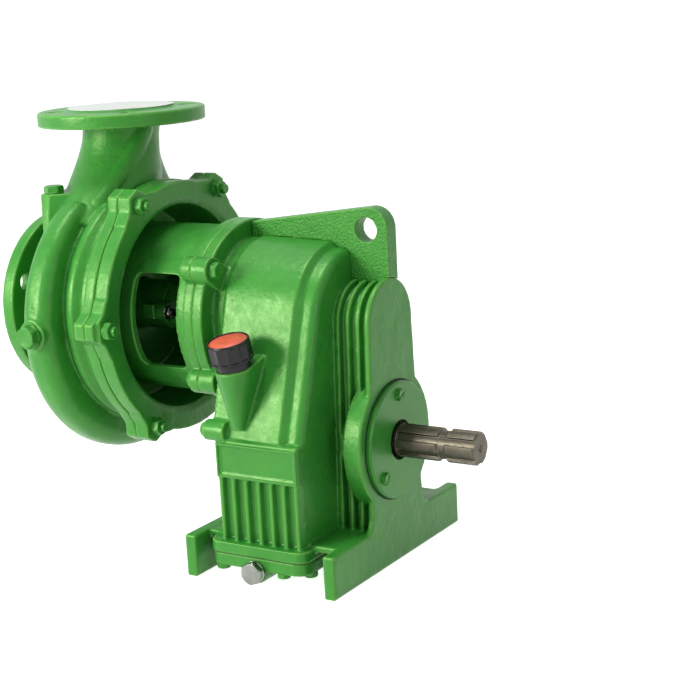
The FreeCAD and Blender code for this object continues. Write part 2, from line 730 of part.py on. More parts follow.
def oil_seal(x0, width, shaft, outer, height):
    """Rubber-lipped ring: a channel section with its lip close to the shaft."""
    return turned([
        (x0, shaft + RUN),
        (x0 + 1.5, shaft + RUN),
        (x0 + 2.5, shaft + 3),
        (x0 + width - 2, shaft + 3),
        (x0 + width - 2, shaft + 1),
        (x0 + width, shaft + 1),
        (x0 + width, outer),
        (x0, outer),
    ], height)


def spline_profile(x0, x1):
    """Six straight-sided teeth round a core."""
    core = rod_x(SPLINE_MINOR, x0, x1)
    half = SPLINE_WIDTH / 2
    teeth = []
    for angle in even_angles(SPLINE_TEETH):
        tooth = block(x0, x1, 0, SPLINE_MAJOR + 1, -half, half)
        tooth.rotate(V(0, 0, 0), X_DIR, angle)
        teeth.append(tooth)
    return core.fuse(teeth).common(rod_x(SPLINE_MAJOR, x0, x1))


def gear_start():
    return GEAR_MIDDLE - GEAR_WIDTH / 2


def gear_end():
    return GEAR_MIDDLE + GEAR_WIDTH / 2


def pto_shaft():
    bore, outer, width = PTO_BEARING
    seat = pto_bearing_seat()
    journal = bore / 2
    turned_part = turned([
        (rear_bearing_seat() - 4, 0),
        (rear_bearing_seat() - 4, journal - 1),
        (rear_bearing_seat() - 3, journal),
        (rear_bearing_seat() + width, journal),
        (gear_start(), journal + 2.5),
        (gear_end(), journal + 2.5),
        (gear_end(), journal + 8),
        (gear_end() + 8, journal + 8),
        (gear_end() + 8, journal + 4),
        (seat - width, journal + 4),
        (seat - width, journal),
        (seat, journal),
        (seat, SEAL_SEAT),
        (SPLINE_START, SEAL_SEAT),
        (SPLINE_START, 0),
    ], 0)
    spline = spline_profile(SPLINE_START - 1, SHAFT_REACH)
    spline = spline.common(turned([
        (SPLINE_START - 1, 0),
        (SPLINE_START - 1, SPLINE_MAJOR + 1),
        (SHAFT_REACH - SHAFT_CHAMFER, SPLINE_MAJOR + 1),
        (SHAFT_REACH, SPLINE_MAJOR - SHAFT_CHAMFER + 1),
        (SHAFT_REACH, 0),
    ], 0))
    groove = SHAFT_REACH - SPLINE_GROOVE_BACK
    half = SPLINE_GROOVE_HALF
    cut = turned([
        (groove - half - 3, SPLINE_MAJOR + 1),
        (groove - half, SPLINE_GROOVE_RADIUS),
        (groove + half, SPLINE_GROOVE_RADIUS),
        (groove + half + 3, SPLINE_MAJOR + 1),
    ], 0)
    centre = Part.makeCone(0.0, 4.0, 5, V(SHAFT_REACH - 5, 0, 0), X_DIR)
    shaft = turned_part.fuse(spline).cut([cut, centre, key_solid(journal + 2.5, 0.05)])
    shaft.translate(V(0, 0, PTO_HEIGHT))
    return shaft


def key_solid(radius, slack):
    """Parallel key of the drive gear, on a shaft line at zero height."""
    return block(gear_start() + 3, gear_end() - 3, -6 - slack, 6 + slack, radius - 5, radius + 3 + slack)


def drive_key():
    key = key_solid(PTO_BEARING[0] / 2 + 2.5, 0.0)
    key.translate(V(0, 0, PTO_HEIGHT))
    return key


def involute(angle):
    return math.tan(angle) - angle


def spur_gear(teeth, bore, x0, x1, first):
    """Straight-toothed gear about the X axis, with a tooth centred on the first angle."""
    pitch = GEAR_MODULE * teeth / 2
    base = pitch * math.cos(PRESSURE_ANGLE)
    tip = pitch + GEAR_MODULE
    root = pitch - 1.25 * GEAR_MODULE
    half_tooth = (math.pi * GEAR_MODULE / 2 - BACKLASH / 2) / 2 / pitch

    def half_angle(radius):
        turn = math.acos(min(1.0, base / radius))
        return half_tooth + involute(PRESSURE_ANGLE) - involute(turn)

    def at(radius, turn):
        return V(x0, radius * math.cos(turn), radius * math.sin(turn))

    foot, flank, crest = half_angle(max(root, base)), half_angle(pitch), half_angle(tip)
    edges = []
    step = 2 * math.pi / teeth
    for k in range(teeth):
        middle = math.radians(first) + k * step
        rise = Part.Arc(at(root, middle - foot), at(pitch, middle - flank), at(tip, middle - crest))
        fall = Part.Arc(at(tip, middle + crest), at(pitch, middle + flank), at(root, middle + foot))
        edges.append(rise.toShape())
        edges.append(Part.makeLine(at(tip, middle - crest), at(tip, middle + crest)))
        edges.append(fall.toShape())
        edges.append(Part.makeLine(at(root, middle + foot), at(root, middle + step - foot)))
    blank = Part.Face(Part.Wire(edges)).extrude(V(x1 - x0, 0, 0))
    return blank.cut(rod_x(bore, x0 - 1, x1 + 1))


def drive_gear():
    bore = PTO_BEARING[0] / 2 + 2.5
    gear = spur_gear(DRIVE_TEETH, bore, gear_start(), gear_end(), 90.0)
    inner = bore + 14
    outer = GEAR_MODULE * DRIVE_TEETH / 2 - 14
    for x0, x1 in ((gear_start() - 1, gear_start() + 9), (gear_end() - 9, gear_end() + 1)):
        gear = gear.cut(ring_x(outer, inner, x0, x1, 0))
    gear = gear.cut(key_solid(bore, 0.05))
    gear.translate(V(0, 0, PTO_HEIGHT))
    return gear


def pinion():
    gap_down = 270.0 + 180.0 / PINION_TEETH
    gear = spur_gear(PINION_TEETH, PINION_BEARING[0] / 2 + 1, gear_start() - 2, gear_end() + 2, gap_down)
    gear.translate(V(0, 0, PUMP_HEIGHT))
    return gear


def bearing(size, x0, height):
    """Outer ring, inner ring and rollers of a roller bearing."""
    bore, outer, width = size
    x1 = x0 + width
    roller = (outer - bore) / 2 * 0.24
    pitch = (outer + bore) / 4
    outer_ring = turned([
        (x0, outer / 2), (x1, outer / 2), (x1, pitch + roller - 1), (x1 - 2, pitch + roller - 1),
        (x1 - 2, pitch + roller + RUN / 2), (x0 + 2, pitch + roller + RUN / 2),
        (x0 + 2, pitch + roller - 1), (x0, pitch + roller - 1),
    ], height)
    inner_ring = ring_x(pitch - roller - RUN / 2, bore / 2, x0, x1, height)
    rollers = []
    for angle in even_angles(ROLLER_COUNT):
        start = on_circle(pitch, angle, x0 + 2 + RUN, height)
        rollers.append(Part.makeCylinder(roller, width - 4 - 2 * RUN, start, X_DIR))
    return outer_ring, inner_ring, Part.makeCompound(rollers)


# Pump shaft line

def impeller_back():
    return CASING_JOINT - DISH_DEPTH - DISH_WALL - 3.0


def impeller_front():
    return MIDPLANE - 18.0


def shaft_core():
    return SLEEVE_RADIUS - 4.0


def sleeve_end():
    return HUB_END + 22.0


def pump_shaft():
    core = shaft_core()
    journal = LANTERN_BEARING[0] / 2
    small = PINION_BEARING[0] / 2
    seat = lantern_bearing_seat()
    end = RIM_START - 3 + PINION_BEARING[2]
    shaft = turned([
        (impeller_front() - 22, 0),
        (impeller_front() - 22, 8),
        (impeller_front() - 4, 8),
        (impeller_front() - 4, core - 3),
        (impeller_back(), core - 3),
        (impeller_back(), core),
        (sleeve_end(), core),
        (sleeve_end(), journal),
        (seat + LANTERN_BEARING[2], journal),
        (seat + LANTERN_BEARING[2], journal + 4),
        (gear_start() - 2, journal + 4),
        (gear_start() - 2, small + 1),
        (gear_end() + 2, small + 1),
        (gear_end() + 2, small + 3),
        (end - PINION_BEARING[2], small + 3),
        (end - PINION_BEARING[2], small),
        (end - 1, small),
        (end - 1, 0),
    ], PUMP_HEIGHT)
    return shaft.cut(impeller_key())


def impeller_key():
    core = shaft_core() - 3
    front, back = impeller_front() + 4, impeller_back() - 4
    return block(front, back, -4, 4, PUMP_HEIGHT + core - 4, PUMP_HEIGHT + core + 3)


def shaft_sleeve():
    return ring_x(SLEEVE_RADIUS, shaft_core(), impeller_back(), sleeve_end(), PUMP_HEIGHT)


def deflector():
    journal = LANTERN_BEARING[0] / 2
    x = GEARBOX_JOINT - 22
    return turned([(x, journal), (x + 8, journal), (x + 8, journal + 4), (x + 4, journal + 5),
                   (x + 3, journal + 14), (x, journal + 14)], PUMP_HEIGHT)


def blade(angle):
    """One backward-curved vane as a band between two arcs."""
    x0, x1 = impeller_front() - 20, impeller_back()
    inner, outer, sweep, thick = 38.0, IMPELLER_RADIUS - 1, 75.0, 5.0

    def at(radius, degrees):
        turn = math.radians(degrees)
        return V(x0, radius * math.cos(turn), radius * math.sin(turn))

    middle = (inner + outer) / 2
    near = math.degrees(thick / inner)
    far = math.degrees(thick / outer)
    mid = math.degrees(thick / middle)
    lead = Part.Arc(at(inner, 0), at(middle, -sweep * 0.42), at(outer, -sweep)).toShape()
    tip = Part.makeLine(at(outer, -sweep), at(outer, far - sweep))
    trail = Part.Arc(at(outer, far - sweep), at(middle, mid - sweep * 0.42), at(inner, near)).toShape()
    root = Part.makeLine(at(inner, near), at(inner, 0))
    vane = Part.Face(Part.Wire([lead, tip, trail, root])).extrude(V(x1 - x0, 0, 0))
    vane.rotate(V(0, 0, 0), X_DIR, angle)
    vane.translate(V(0, 0, PUMP_HEIGHT))
    return vane


BLADE_COUNT = 6
EYE_RADIUS = 37.0
EYE_DEPTH = 28.0


def impeller():
    """Closed impeller: back shroud with its hub, curved vanes and a coned front shroud."""
    back, front = impeller_back(), impeller_front()
    core = shaft_core() - 3
    outer = IMPELLER_RADIUS
    eye = EYE_RADIUS
    back_shroud = turned([
        (back, core), (back, outer), (back - 4, outer), (back - 6, 45), (back - 12, 28),
        (front - 2, 22), (front - 2, core),
    ], PUMP_HEIGHT)
    front_shroud = turned([
        (front, outer), (front - 4, outer), (front - 12, eye + 14), (front - 16, eye + 5),
        (front - EYE_DEPTH, eye + 5), (front - EYE_DEPTH, eye), (front - 14, eye), (front - 7, eye + 14),
    ], PUMP_HEIGHT)
    channel = turned([
        (back - 3, 26), (back - 3, outer - 1), (front - 1, outer - 1), (front - 8, eye + 14),
        (front - 14, eye + 1), (front - 10, 26),
    ], PUMP_HEIGHT)
    vanes = [blade(angle).common(channel) for angle in even_angles(BLADE_COUNT)]
    return joined([back_shroud, front_shroud] + vanes).cut(impeller_key())


def impeller_nut():
    front = impeller_front() - 4
    cap = hexagon(26, 14, V(front, 0, PUMP_HEIGHT), X_DIR * -1)
    return cap.cut(rod_x(8, front - 30, front + 1, 0, PUMP_HEIGHT))


def wear_ring():
    front = impeller_front() - EYE_DEPTH - 1.5
    outer = EYE_RADIUS + 12
    return ring_x(outer, EYE_RADIUS + 5 + SLIP, front, front + 10, PUMP_HEIGHT)


# Lantern with its dished cover and stuffing box

def lantern():
    joint = GEARBOX_JOINT
    ring_face = CASING_JOINT + RING_THICK
    dish_floor = CASING_JOINT - DISH_DEPTH
    flange = lantern_flange(joint - LANTERN_FLANGE_THICK, joint)
    bore = TUBE_RADIUS - TUBE_WALL
    shell = turned([
        (dish_floor - DISH_WALL, SLEEVE_RADIUS + 1),
        (dish_floor - DISH_WALL, DISH_OPENING - SLIP),
        (CASING_JOINT, DISH_OPENING - SLIP),
        (CASING_JOINT, RING_RADIUS),
        (ring_face, RING_RADIUS),
        (ring_face, DISH_OPENING - 2),
        (ring_face - 4, DISH_OPENING - DISH_WALL),
        (dish_floor, DISH_OPENING - DISH_WALL - 3),
        (dish_floor, TUBE_RADIUS),
        (joint - LANTERN_FLANGE_THICK + 1, TUBE_RADIUS),
        (joint - LANTERN_FLANGE_THICK + 1, bore),
        (dish_floor, bore),
        (dish_floor, HUB_RADIUS),
        (HUB_END, HUB_RADIUS),
        (HUB_END, PACKING_OUTER - 3),
        (dish_floor - 2, PACKING_OUTER - 3),
        (dish_floor - 2, SLEEVE_RADIUS + 1),
    ], PUMP_HEIGHT)
    pieces = [shell, flange] + gland_stud_ears()
    for angle in even_angles(RING_BOLT_COUNT):
        pieces.append(angular_lug(angle, CASING_JOINT, ring_face, DISH_OPENING + 6))
    pieces.append(ring_x(SPIGOT_RADIUS, SPIGOT_RADIUS - 16, joint - 1, joint + SPIGOT_DEPTH, PUMP_HEIGHT))
    body = joined(pieces)
    start = ring_face - 5
    low, high = PUMP_HEIGHT - WINDOW_HALF, PUMP_HEIGHT + WINDOW_HALF
    window = block(start, start + WINDOW_LENGTH, -200, 200, low, high)
    window = rounded(window, 9, lambda c: abs(c.y) < 1)
    ring_guard = rod_x(DISH_OPENING + 30, start - 1, ring_face + 0.01, 0, PUMP_HEIGHT)
    ring_guard = ring_guard.cut(rod_x(TUBE_RADIUS + 1, start - 2, ring_face + 1, 0, PUMP_HEIGHT))
    cuts = [window.cut(ring_guard)]
    hub_clear = rod_x(PACKING_OUTER, packing_start(), HUB_END + 1, 0, PUMP_HEIGHT)
    cuts.append(hub_clear)
    cuts.append(rod_x(PUMP_SEAL_RADIUS, joint - PUMP_SEAL_WIDTH, joint + 1, 0, PUMP_HEIGHT))
    cuts.append(rod_x(LANTERN_BEARING[0] / 2 + 2, joint - LANTERN_FLANGE_THICK - 1, joint, 0, PUMP_HEIGHT))
    cuts += bolt_holes(LANTERN_BOLT_CIRCLE, LANTERN_BOLT_ANGLES, CASE_BOLT, joint - 40, joint + 1)
    angles = even_angles(RING_BOLT_COUNT)
    cuts += bolt_holes(RING_BOLT_CIRCLE, angles, CASE_BOLT, CASING_JOINT - 1, ring_face + 1)
    return body.cut(cuts).removeSplitter()


def packing_start():
    return HUB_END - PACKING_RINGS * PACKING_WIDTH - 12


def packing_rings():
    rings = []
    for k in range(PACKING_RINGS):
        x = packing_start() + k * PACKING_WIDTH
        end = x + PACKING_WIDTH - 0.1
        rings.append(ring_x(PACKING_OUTER - 0.05, SLEEVE_RADIUS + RUN, x, end, PUMP_HEIGHT))
    return Part.makeCompound(rings)


STUD_OFFSET = 37.0
STUD_SIZE = 8.0
STUD_PROUD = 34.0
STUD_NUT_FLATS = 13.0
STUD_NUT = 6.5
GLAND_GAP = 3.0
GLAND_PLATE = 9.0


def gland_follower():
    """Oval follower whose nose presses on the packing."""
    nose = packing_start() + PACKING_RINGS * PACKING_WIDTH
    face = HUB_END + GLAND_GAP
    back = face + GLAND_PLATE
    barrel = rod_x(PACKING_OUTER - SLIP, nose, face + 1, 0, PUMP_HEIGHT)
    plate = rod_x(HUB_RADIUS + 1, face, back, 0, PUMP_HEIGHT)
    ears = [rod_x(STUD_SIZE + 1, face, back, side * STUD_OFFSET, PUMP_HEIGHT) for side in (-1, 1)]
    half = STUD_SIZE + 1
    bridge = block(face, back, -STUD_OFFSET, STUD_OFFSET, PUMP_HEIGHT - half, PUMP_HEIGHT + half)
    body = joined([barrel, plate, bridge] + ears)
    holes = [rod_x(SLEEVE_RADIUS + 0.6, nose - 1, back + 1, 0, PUMP_HEIGHT)]
    stud_hole = STUD_SIZE / 2 + 0.4
    holes += [rod_x(stud_hole, face - 1, back + 1, side * STUD_OFFSET, PUMP_HEIGHT) for side in (-1, 1)]
    return body.cut(holes)


def gland_stud_ears():
    """Ears of the stuffing box that carry the two studs."""
    return [block(HUB_END - 14, HUB_END, *sorted((side * (HUB_RADIUS - 1), side * (STUD_OFFSET + 8))),
                  PUMP_HEIGHT - 8, PUMP_HEIGHT + 8) for side in (-1, 1)]


def gland_studs():
    end = HUB_END + STUD_PROUD
    studs = [rod_x(STUD_SIZE / 2, HUB_END, end, side * STUD_OFFSET, PUMP_HEIGHT) for side in (-1, 1)]
    return Part.makeCompound(studs)


def gland_nuts():
    x = HUB_END + GLAND_GAP + GLAND_PLATE
    nuts = []
    for side in (-1, 1):
        body = hexagon(STUD_NUT_FLATS, STUD_NUT, V(x, side * STUD_OFFSET, PUMP_HEIGHT), X_DIR)
        nuts.append(body.cut(rod_x(STUD_SIZE / 2 + RUN, x - 1, x + 8, side * STUD_OFFSET, PUMP_HEIGHT)))
    return Part.makeCompound(nuts)


# Volute casing

def spiral_section(degrees, wall):
    """Flat-sided section with round shoulders, in the plane of the shaft line."""
    share = (degrees - VOLUTE_START_ANGLE) / (VOLUTE_END_ANGLE - VOLUTE_START_ANGLE)
    grown = math.sin(share * math.pi / 2)
    outer = VOLUTE_START_RADIUS + grown * (VOLUTE_END_RADIUS - VOLUTE_START_RADIUS) - wall
    half = VOLUTE_START_HALF + share * (VOLUTE_END_HALF - VOLUTE_START_HALF) - wall
    corner = VOLUTE_START_CORNER + share * (VOLUTE_END_CORNER - VOLUTE_START_CORNER) - wall
    bend = corner * (1 - math.sqrt(0.5))


    def at(x, radius):
        return V(MIDPLANE + VOLUTE_SHIFT + x, radius, 0)

    left = Part.Arc(at(-half, outer - corner), at(bend - half, outer - bend), at(corner - half, outer))
    right = Part.Arc(at(half - corner, outer), at(half - bend, outer - bend), at(half, outer - corner))
    wire = Part.Wire([
        Part.makeLine(at(half, VOLUTE_INNER), at(-half, VOLUTE_INNER)),
        Part.makeLine(at(-half, VOLUTE_INNER), at(-half, outer - corner)),
        left.toShape(),
        Part.makeLine(at(corner - half, outer), at(half - corner, outer)),
        right.toShape(),
        Part.makeLine(at(half, outer - corner), at(half, VOLUTE_INNER)),
    ])
    wire.rotate(V(MIDPLANE, 0, 0), X_DIR, degrees)
    wire.translate(V(0, 0, PUMP_HEIGHT))
    return wire


def spiral(wall):
    """Volute that grows from the tongue round to the throat."""
    angles = range(VOLUTE_START_ANGLE, VOLUTE_END_ANGLE + 1, VOLUTE_STEP)
    return Part.makeLoft([spiral_section(angle, wall) for angle in angles], True, False)


def oval(y, z, lean, half_x, half_y):
    """Closed oval outline across the discharge neck."""
    curve = Part.Ellipse(V(MIDPLANE, 0, 0), max(half_x, half_y), min(half_x, half_y))
    wire = Part.Wire(curve.toShape())
    if half_y > half_x:
        wire.rotate(V(MIDPLANE, 0, 0), Z_DIR, 90)
    wire.rotate(V(MIDPLANE, 0, 0), X_DIR, lean)
    wire.translate(V(0, y, z))
    return wire


def swan_neck(wall):
    """Passage from the throat behind the shaft line up to the straight outlet bore."""
    end = PUMP_HEIGHT + DISCHARGE_HEIGHT
    throat = (VOLUTE_INNER + VOLUTE_END_RADIUS) / 2
    start = math.radians(VOLUTE_END_ANGLE - 3)
    deep = (VOLUTE_END_RADIUS - VOLUTE_INNER) / 2 - VOLUTE_WALL
    wide = VOLUTE_END_HALF - VOLUTE_WALL
    bore = DISCHARGE_BORE
    stations = [
        (throat * math.cos(start), PUMP_HEIGHT + throat * math.sin(start), 27, wide + 1, deep + 1),
        (DISCHARGE_Y + 51, end - 121, 24, wide + 1, deep - 4),
        (DISCHARGE_Y + 21, end - 93, 12, wide + 2, deep),
        (DISCHARGE_Y + 3, end - 54, 4, wide + 2, bore - 2),
        (DISCHARGE_Y, end - OUTLET_STRAIGHT + 2, 0, bore - 1.2, bore - 1),
    ]
    return Part.makeLoft([oval(y, z, lean, a + wall, b + wall) for y, z, lean, a, b in stations], True, False)


def trumpet():
    """Outside of the neck, flaring down over the front of the casing."""
    end = PUMP_HEIGHT + DISCHARGE_HEIGHT - DISCHARGE_FLANGE_THICK / 2
    stations = [
        (DISCHARGE_Y, end, NECK_OUTER, NECK_OUTER + 0.01),
        (DISCHARGE_Y - 4, end - 22, NECK_OUTER - 5, NECK_OUTER - 4),
        (DISCHARGE_Y - 10, end - 44, NECK_OUTER - 2, NECK_OUTER - 1),
        (DISCHARGE_Y - 20, end - 72, NECK_OUTER + 1, NECK_OUTER + 11),
        (DISCHARGE_Y - 28, end - 106, NECK_OUTER + 1, NECK_OUTER + 40),
    ]
    return Part.makeLoft([oval(y, z, 0, half_x, half_y) for y, z, half_x, half_y in stations], True, False)


def drilled_flange(radius, thick, circle, holes, first):
    """Round pipe flange standing on the XY plane, raised face up."""
    disc = rod_z(radius, 0, thick - RAISED_FACE).fuse(rod_z(circle - FACE_MARGIN, 0, thick))
    for angle in even_angles(holes, first):
        turn = math.radians(angle)
        disc = disc.cut(rod_z(FLANGE_HOLE, -1, thick + 1, circle * math.cos(turn), circle * math.sin(turn)))
    return disc


def discharge_flange():
    flange = drilled_flange(DISCHARGE_FLANGE_RADIUS, DISCHARGE_FLANGE_THICK, DISCHARGE_BOLT_CIRCLE,
                            DISCHARGE_HOLES, 45.0)
    flange.translate(V(MIDPLANE, DISCHARGE_Y, PUMP_HEIGHT + DISCHARGE_HEIGHT - DISCHARGE_FLANGE_THICK))
    return flange


def suction_flange():
    flange = drilled_flange(SUCTION_FLANGE_RADIUS, SUCTION_FLANGE_THICK, SUCTION_BOLT_CIRCLE,
                            SUCTION_HOLES, 22.5)
    flange.rotate(V(0, 0, 0), Y_DIR, -90)
    flange.translate(V(SUCTION_FACE + SUCTION_FLANGE_THICK, 0, PUMP_HEIGHT))
    return flange


def casing_body():
    """Suction neck, front cheek and the drum behind the volute."""
    neck = SUCTION_BORE + 12
    front = impeller_front()
    ridge = CASING_JOINT - RIDGE_OFFSET
    return turned([
        (SUCTION_FACE + 4, 0),
        (SUCTION_FACE + 4, neck),
        (SUCTION_FACE + SUCTION_FLANGE_THICK + 6, neck),
        (front - 36, EYE_RADIUS + 22),
        (front - 17, VOLUTE_INNER + 14),
        (front - 4, VOLUTE_INNER + 20),
        (MIDPLANE + 16, DRUM_RADIUS),
        (ridge - RIDGE_HALF, DRUM_RADIUS),
        (ridge - 3, DRUM_RADIUS + RIDGE_RISE),
        (ridge + 3, DRUM_RADIUS + RIDGE_RISE),
        (ridge + RIDGE_HALF, DRUM_RADIUS),
        (CASING_JOINT, DRUM_RADIUS),
        (CASING_JOINT, 0),
    ], PUMP_HEIGHT)


def casing_hollow():
    back = impeller_back()
    front = impeller_front()
    ring_seat = EYE_RADIUS + 12
    return turned([
        (SUCTION_FACE - 1, 0),
        (SUCTION_FACE - 1, SUCTION_BORE),
        (SUCTION_FACE + 20, SUCTION_BORE),
        (front - EYE_DEPTH - 1.5, EYE_RADIUS),
        (front - EYE_DEPTH - 1.5, ring_seat),
        (front - 17, ring_seat),
        (front - 8, IMPELLER_RADIUS + 2),
        (front - 8, VOLUTE_INNER + 12),
        (back - 2, VOLUTE_INNER + 12),
        (back + 1, DISH_OPENING),
        (CASING_JOINT + 1, DISH_OPENING),
        (CASING_JOINT + 1, 0),
    ], PUMP_HEIGHT)


def plug_boss(radius, base, along, length):
    return Part.makeCylinder(radius, length, base, along)


TOP_PLUG = V(MIDPLANE - 33, -60, PUMP_HEIGHT + DISCHARGE_HEIGHT - 86)
VOLUTE_GROWTH = VOLUTE_END_RADIUS - VOLUTE_START_RADIUS
SIDE_PLUG_OUT = VOLUTE_START_RADIUS + SIDE_PLUG_GROWTH * VOLUTE_GROWTH - SIDE_PLUG_SINK
SIDE_PLUG = V(MIDPLANE + 1, -SIDE_PLUG_OUT, PUMP_HEIGHT - 9)
NECK_PLUG = V(MIDPLANE - NECK_OUTER - 3, DISCHARGE_Y, PUMP_HEIGHT + DISCHARGE_HEIGHT - 41)


def top_gusset():
    """Funnel-shaped web that ties the upper plug's boss to the neck."""
    x, y, top = TOP_PLUG.x, TOP_PLUG.y, TOP_PLUG.z
    head = [(x - 10, y - 12), (x + 4, y - 13), (x + 36, y + 10), (x + 36, y + 45), (x - 10, y + 45)]
    foot = [(x + 5, y - 30), (x + 13, y - 30), (x + 20, y + 40), (x + 2, y + 40)]
    foot.insert(2, (x + 17, y - 10))
    wires = []
    for outline, z in ((foot, top - 45), (head, top)):
        corners = [V(a, b, z) for a, b in outline]
        wires.append(Part.makePolygon(corners + corners[:1]))
    return Part.makeLoft(wires, True, True)


def volute_casing():
    flange_end = CASING_JOINT - CASING_FLANGE_THICK
    outlet = PUMP_HEIGHT + DISCHARGE_HEIGHT
    pieces = [casing_body(), spiral(0.0), swan_neck(VOLUTE_WALL), trumpet()]
    pieces += [discharge_flange(), suction_flange()]
    pieces.append(rod_x(RING_RADIUS + 1, flange_end, CASING_JOINT, 0, PUMP_HEIGHT))
    for angle in even_angles(RING_BOLT_COUNT):
        pieces.append(angular_lug(angle, flange_end, CASING_JOINT, DRUM_RADIUS - 2))
    pieces.append(plug_boss(TOP_BOSS, TOP_PLUG - Z_DIR * 60, Z_DIR, 60))
    pieces.append(top_gusset())
    pieces.append(plug_boss(SIDE_BOSS, SIDE_PLUG + Y_DIR * 30, Y_DIR * -1, 30))
    pieces.append(plug_boss(NECK_BOSS, NECK_PLUG + X_DIR * 12, X_DIR * -1, 12))
    cuts = [casing_hollow(), spiral(VOLUTE_WALL), swan_neck(0.0)]
    cuts.append(rod_z(DISCHARGE_BORE, outlet - OUTLET_STRAIGHT, outlet + 1, MIDPLANE, DISCHARGE_Y))
    cuts.append(Part.makeCylinder(TOP_PLUG_STEM + HOLE_SLACK, 12, TOP_PLUG - Z_DIR * 12, Z_DIR))
    cuts.append(Part.makeCylinder(SIDE_PLUG_STEM + HOLE_SLACK, 12, SIDE_PLUG + Y_DIR * 12, Y_DIR * -1))
    cuts.append(Part.makeCylinder(NECK_PLUG_STEM + HOLE_SLACK, 9, NECK_PLUG + X_DIR * 9, X_DIR * -1))
    angles = even_angles(RING_BOLT_COUNT)
    cuts += bolt_holes(RING_BOLT_CIRCLE, angles, CASE_BOLT, flange_end - 1, CASING_JOINT + 1)
    return joined(pieces).cut(cuts).removeSplitter()


def plug(base, along, flats, head, stem, length):
    """Hexagon plug with a threaded stem that fills its boss."""
    body = hexagon(flats, head, base, along)
    return body.fuse(Part.makeCylinder(stem, length, base, along * -1))


# Fasteners of the two main joints

def lantern_bolts():
    """Through bolts above, and screws into the casting below."""
    head_face = GEARBOX_JOINT - LANTERN_FLANGE_THICK
    grip = 2 * LANTERN_FLANGE_THICK + LUG_EXTRA
    bolts = []
    for angle in LANTERN_BOLT_ANGLES:
        shank = grip + 11 if angle in LANTERN_NUT_ANGLES else grip - 1
        base = on_circle(LANTERN_BOLT_CIRCLE, angle, head_face, PUMP_HEIGHT)
        bolts.append(bolt(base, X_DIR * -1, CASE_BOLT, shank, CASE_BOLT_FLATS - 1, 6.4))
    return Part.makeCompound(bolts)


def lantern_nuts():
    face = GEARBOX_JOINT + LANTERN_FLANGE_THICK + LUG_EXTRA
    nuts = []
    for angle in LANTERN_NUT_ANGLES:
        base = on_circle(LANTERN_BOLT_CIRCLE, angle, face, PUMP_HEIGHT)
        bore = Part.makeCylinder(CASE_BOLT / 2, 10, base - X_DIR, X_DIR)
        nuts.append(hexagon(CASE_BOLT_FLATS - 1, 8, base, X_DIR).cut(bore))
    return Part.makeCompound(nuts)


def casing_studs():
    length = CASING_FLANGE_THICK + RING_THICK + 13
    start = CASING_JOINT - CASING_FLANGE_THICK
    studs = []
    for angle in even_angles(RING_BOLT_COUNT):
        foot = on_circle(RING_BOLT_CIRCLE, angle, start, PUMP_HEIGHT)
        studs.append(Part.makeCylinder(CASE_BOLT / 2, length, foot, X_DIR))
    return Part.makeCompound(studs)


def casing_nuts():
    face = CASING_JOINT + RING_THICK
    nuts = []
    for angle in even_angles(RING_BOLT_COUNT):
        base = on_circle(RING_BOLT_CIRCLE, angle, face, PUMP_HEIGHT)
        bore = Part.makeCylinder(CASE_BOLT / 2, 10, base - X_DIR, X_DIR)
        nuts.append(hexagon(CASE_BOLT_FLATS, 8.4, base, X_DIR).cut(bore))
    return Part.makeCompound(nuts)


# Filler cap

def filler_collar():
    """Threaded adapter under the cap, screwed into the filler neck."""
    inner = CAP_STEM + SLIP
    collar = ring_z(COLLAR_RADIUS, inner, FILLER_TOP, FILLER_TOP + COLLAR_HEIGHT, FILLER_X, FILLER_Y)
    thread = ring_z(FILLER_BORE - HOLE_SLACK, inner, FILLER_TOP - 10, FILLER_TOP, FILLER_X, FILLER_Y)
    return tilted(collar.fuse(thread).removeSplitter())


def filler_cap_seal():
    base = FILLER_TOP + COLLAR_HEIGHT
    return tilted(ring_z(COLLAR_RADIUS - 1, CAP_STEM + SLIP, base, base + CAP_SEAL, FILLER_X, FILLER_Y))


def filler_cap():
    base = FILLER_TOP + COLLAR_HEIGHT + CAP_SEAL
    top = base + CAP_HEIGHT
    body = rod_z(CAP_RADIUS, base, top - 1.5, FILLER_X, FILLER_Y)
    body = body.fuse(Part.makeCone(CAP_RADIUS, CAP_RADIUS - 1.5, 1.5, V(FILLER_X, FILLER_Y, top - 1.5), Z_DIR))
    recess = rod_z(CAP_RADIUS - 2.5, top - 3, top + 1, FILLER_X, FILLER_Y)
    stem = rod_z(CAP_STEM, base - 12, base, FILLER_X, FILLER_Y)
    return tilted(body.cut(recess).fuse(stem))


def cap_disc():
    top = FILLER_TOP + COLLAR_HEIGHT + CAP_SEAL + CAP_HEIGHT
    return tilted(rod_z(CAP_RADIUS - 2.5, top - 3, top - 1, FILLER_X, FILLER_Y))


def port_cover():
    face = PUMP_HEIGHT + DISCHARGE_HEIGHT
    radius = DISCHARGE_BOLT_CIRCLE - FACE_MARGIN
    return rod_z(radius, face, face + PORT_COVER_THICK, MIDPLANE, DISCHARGE_Y)


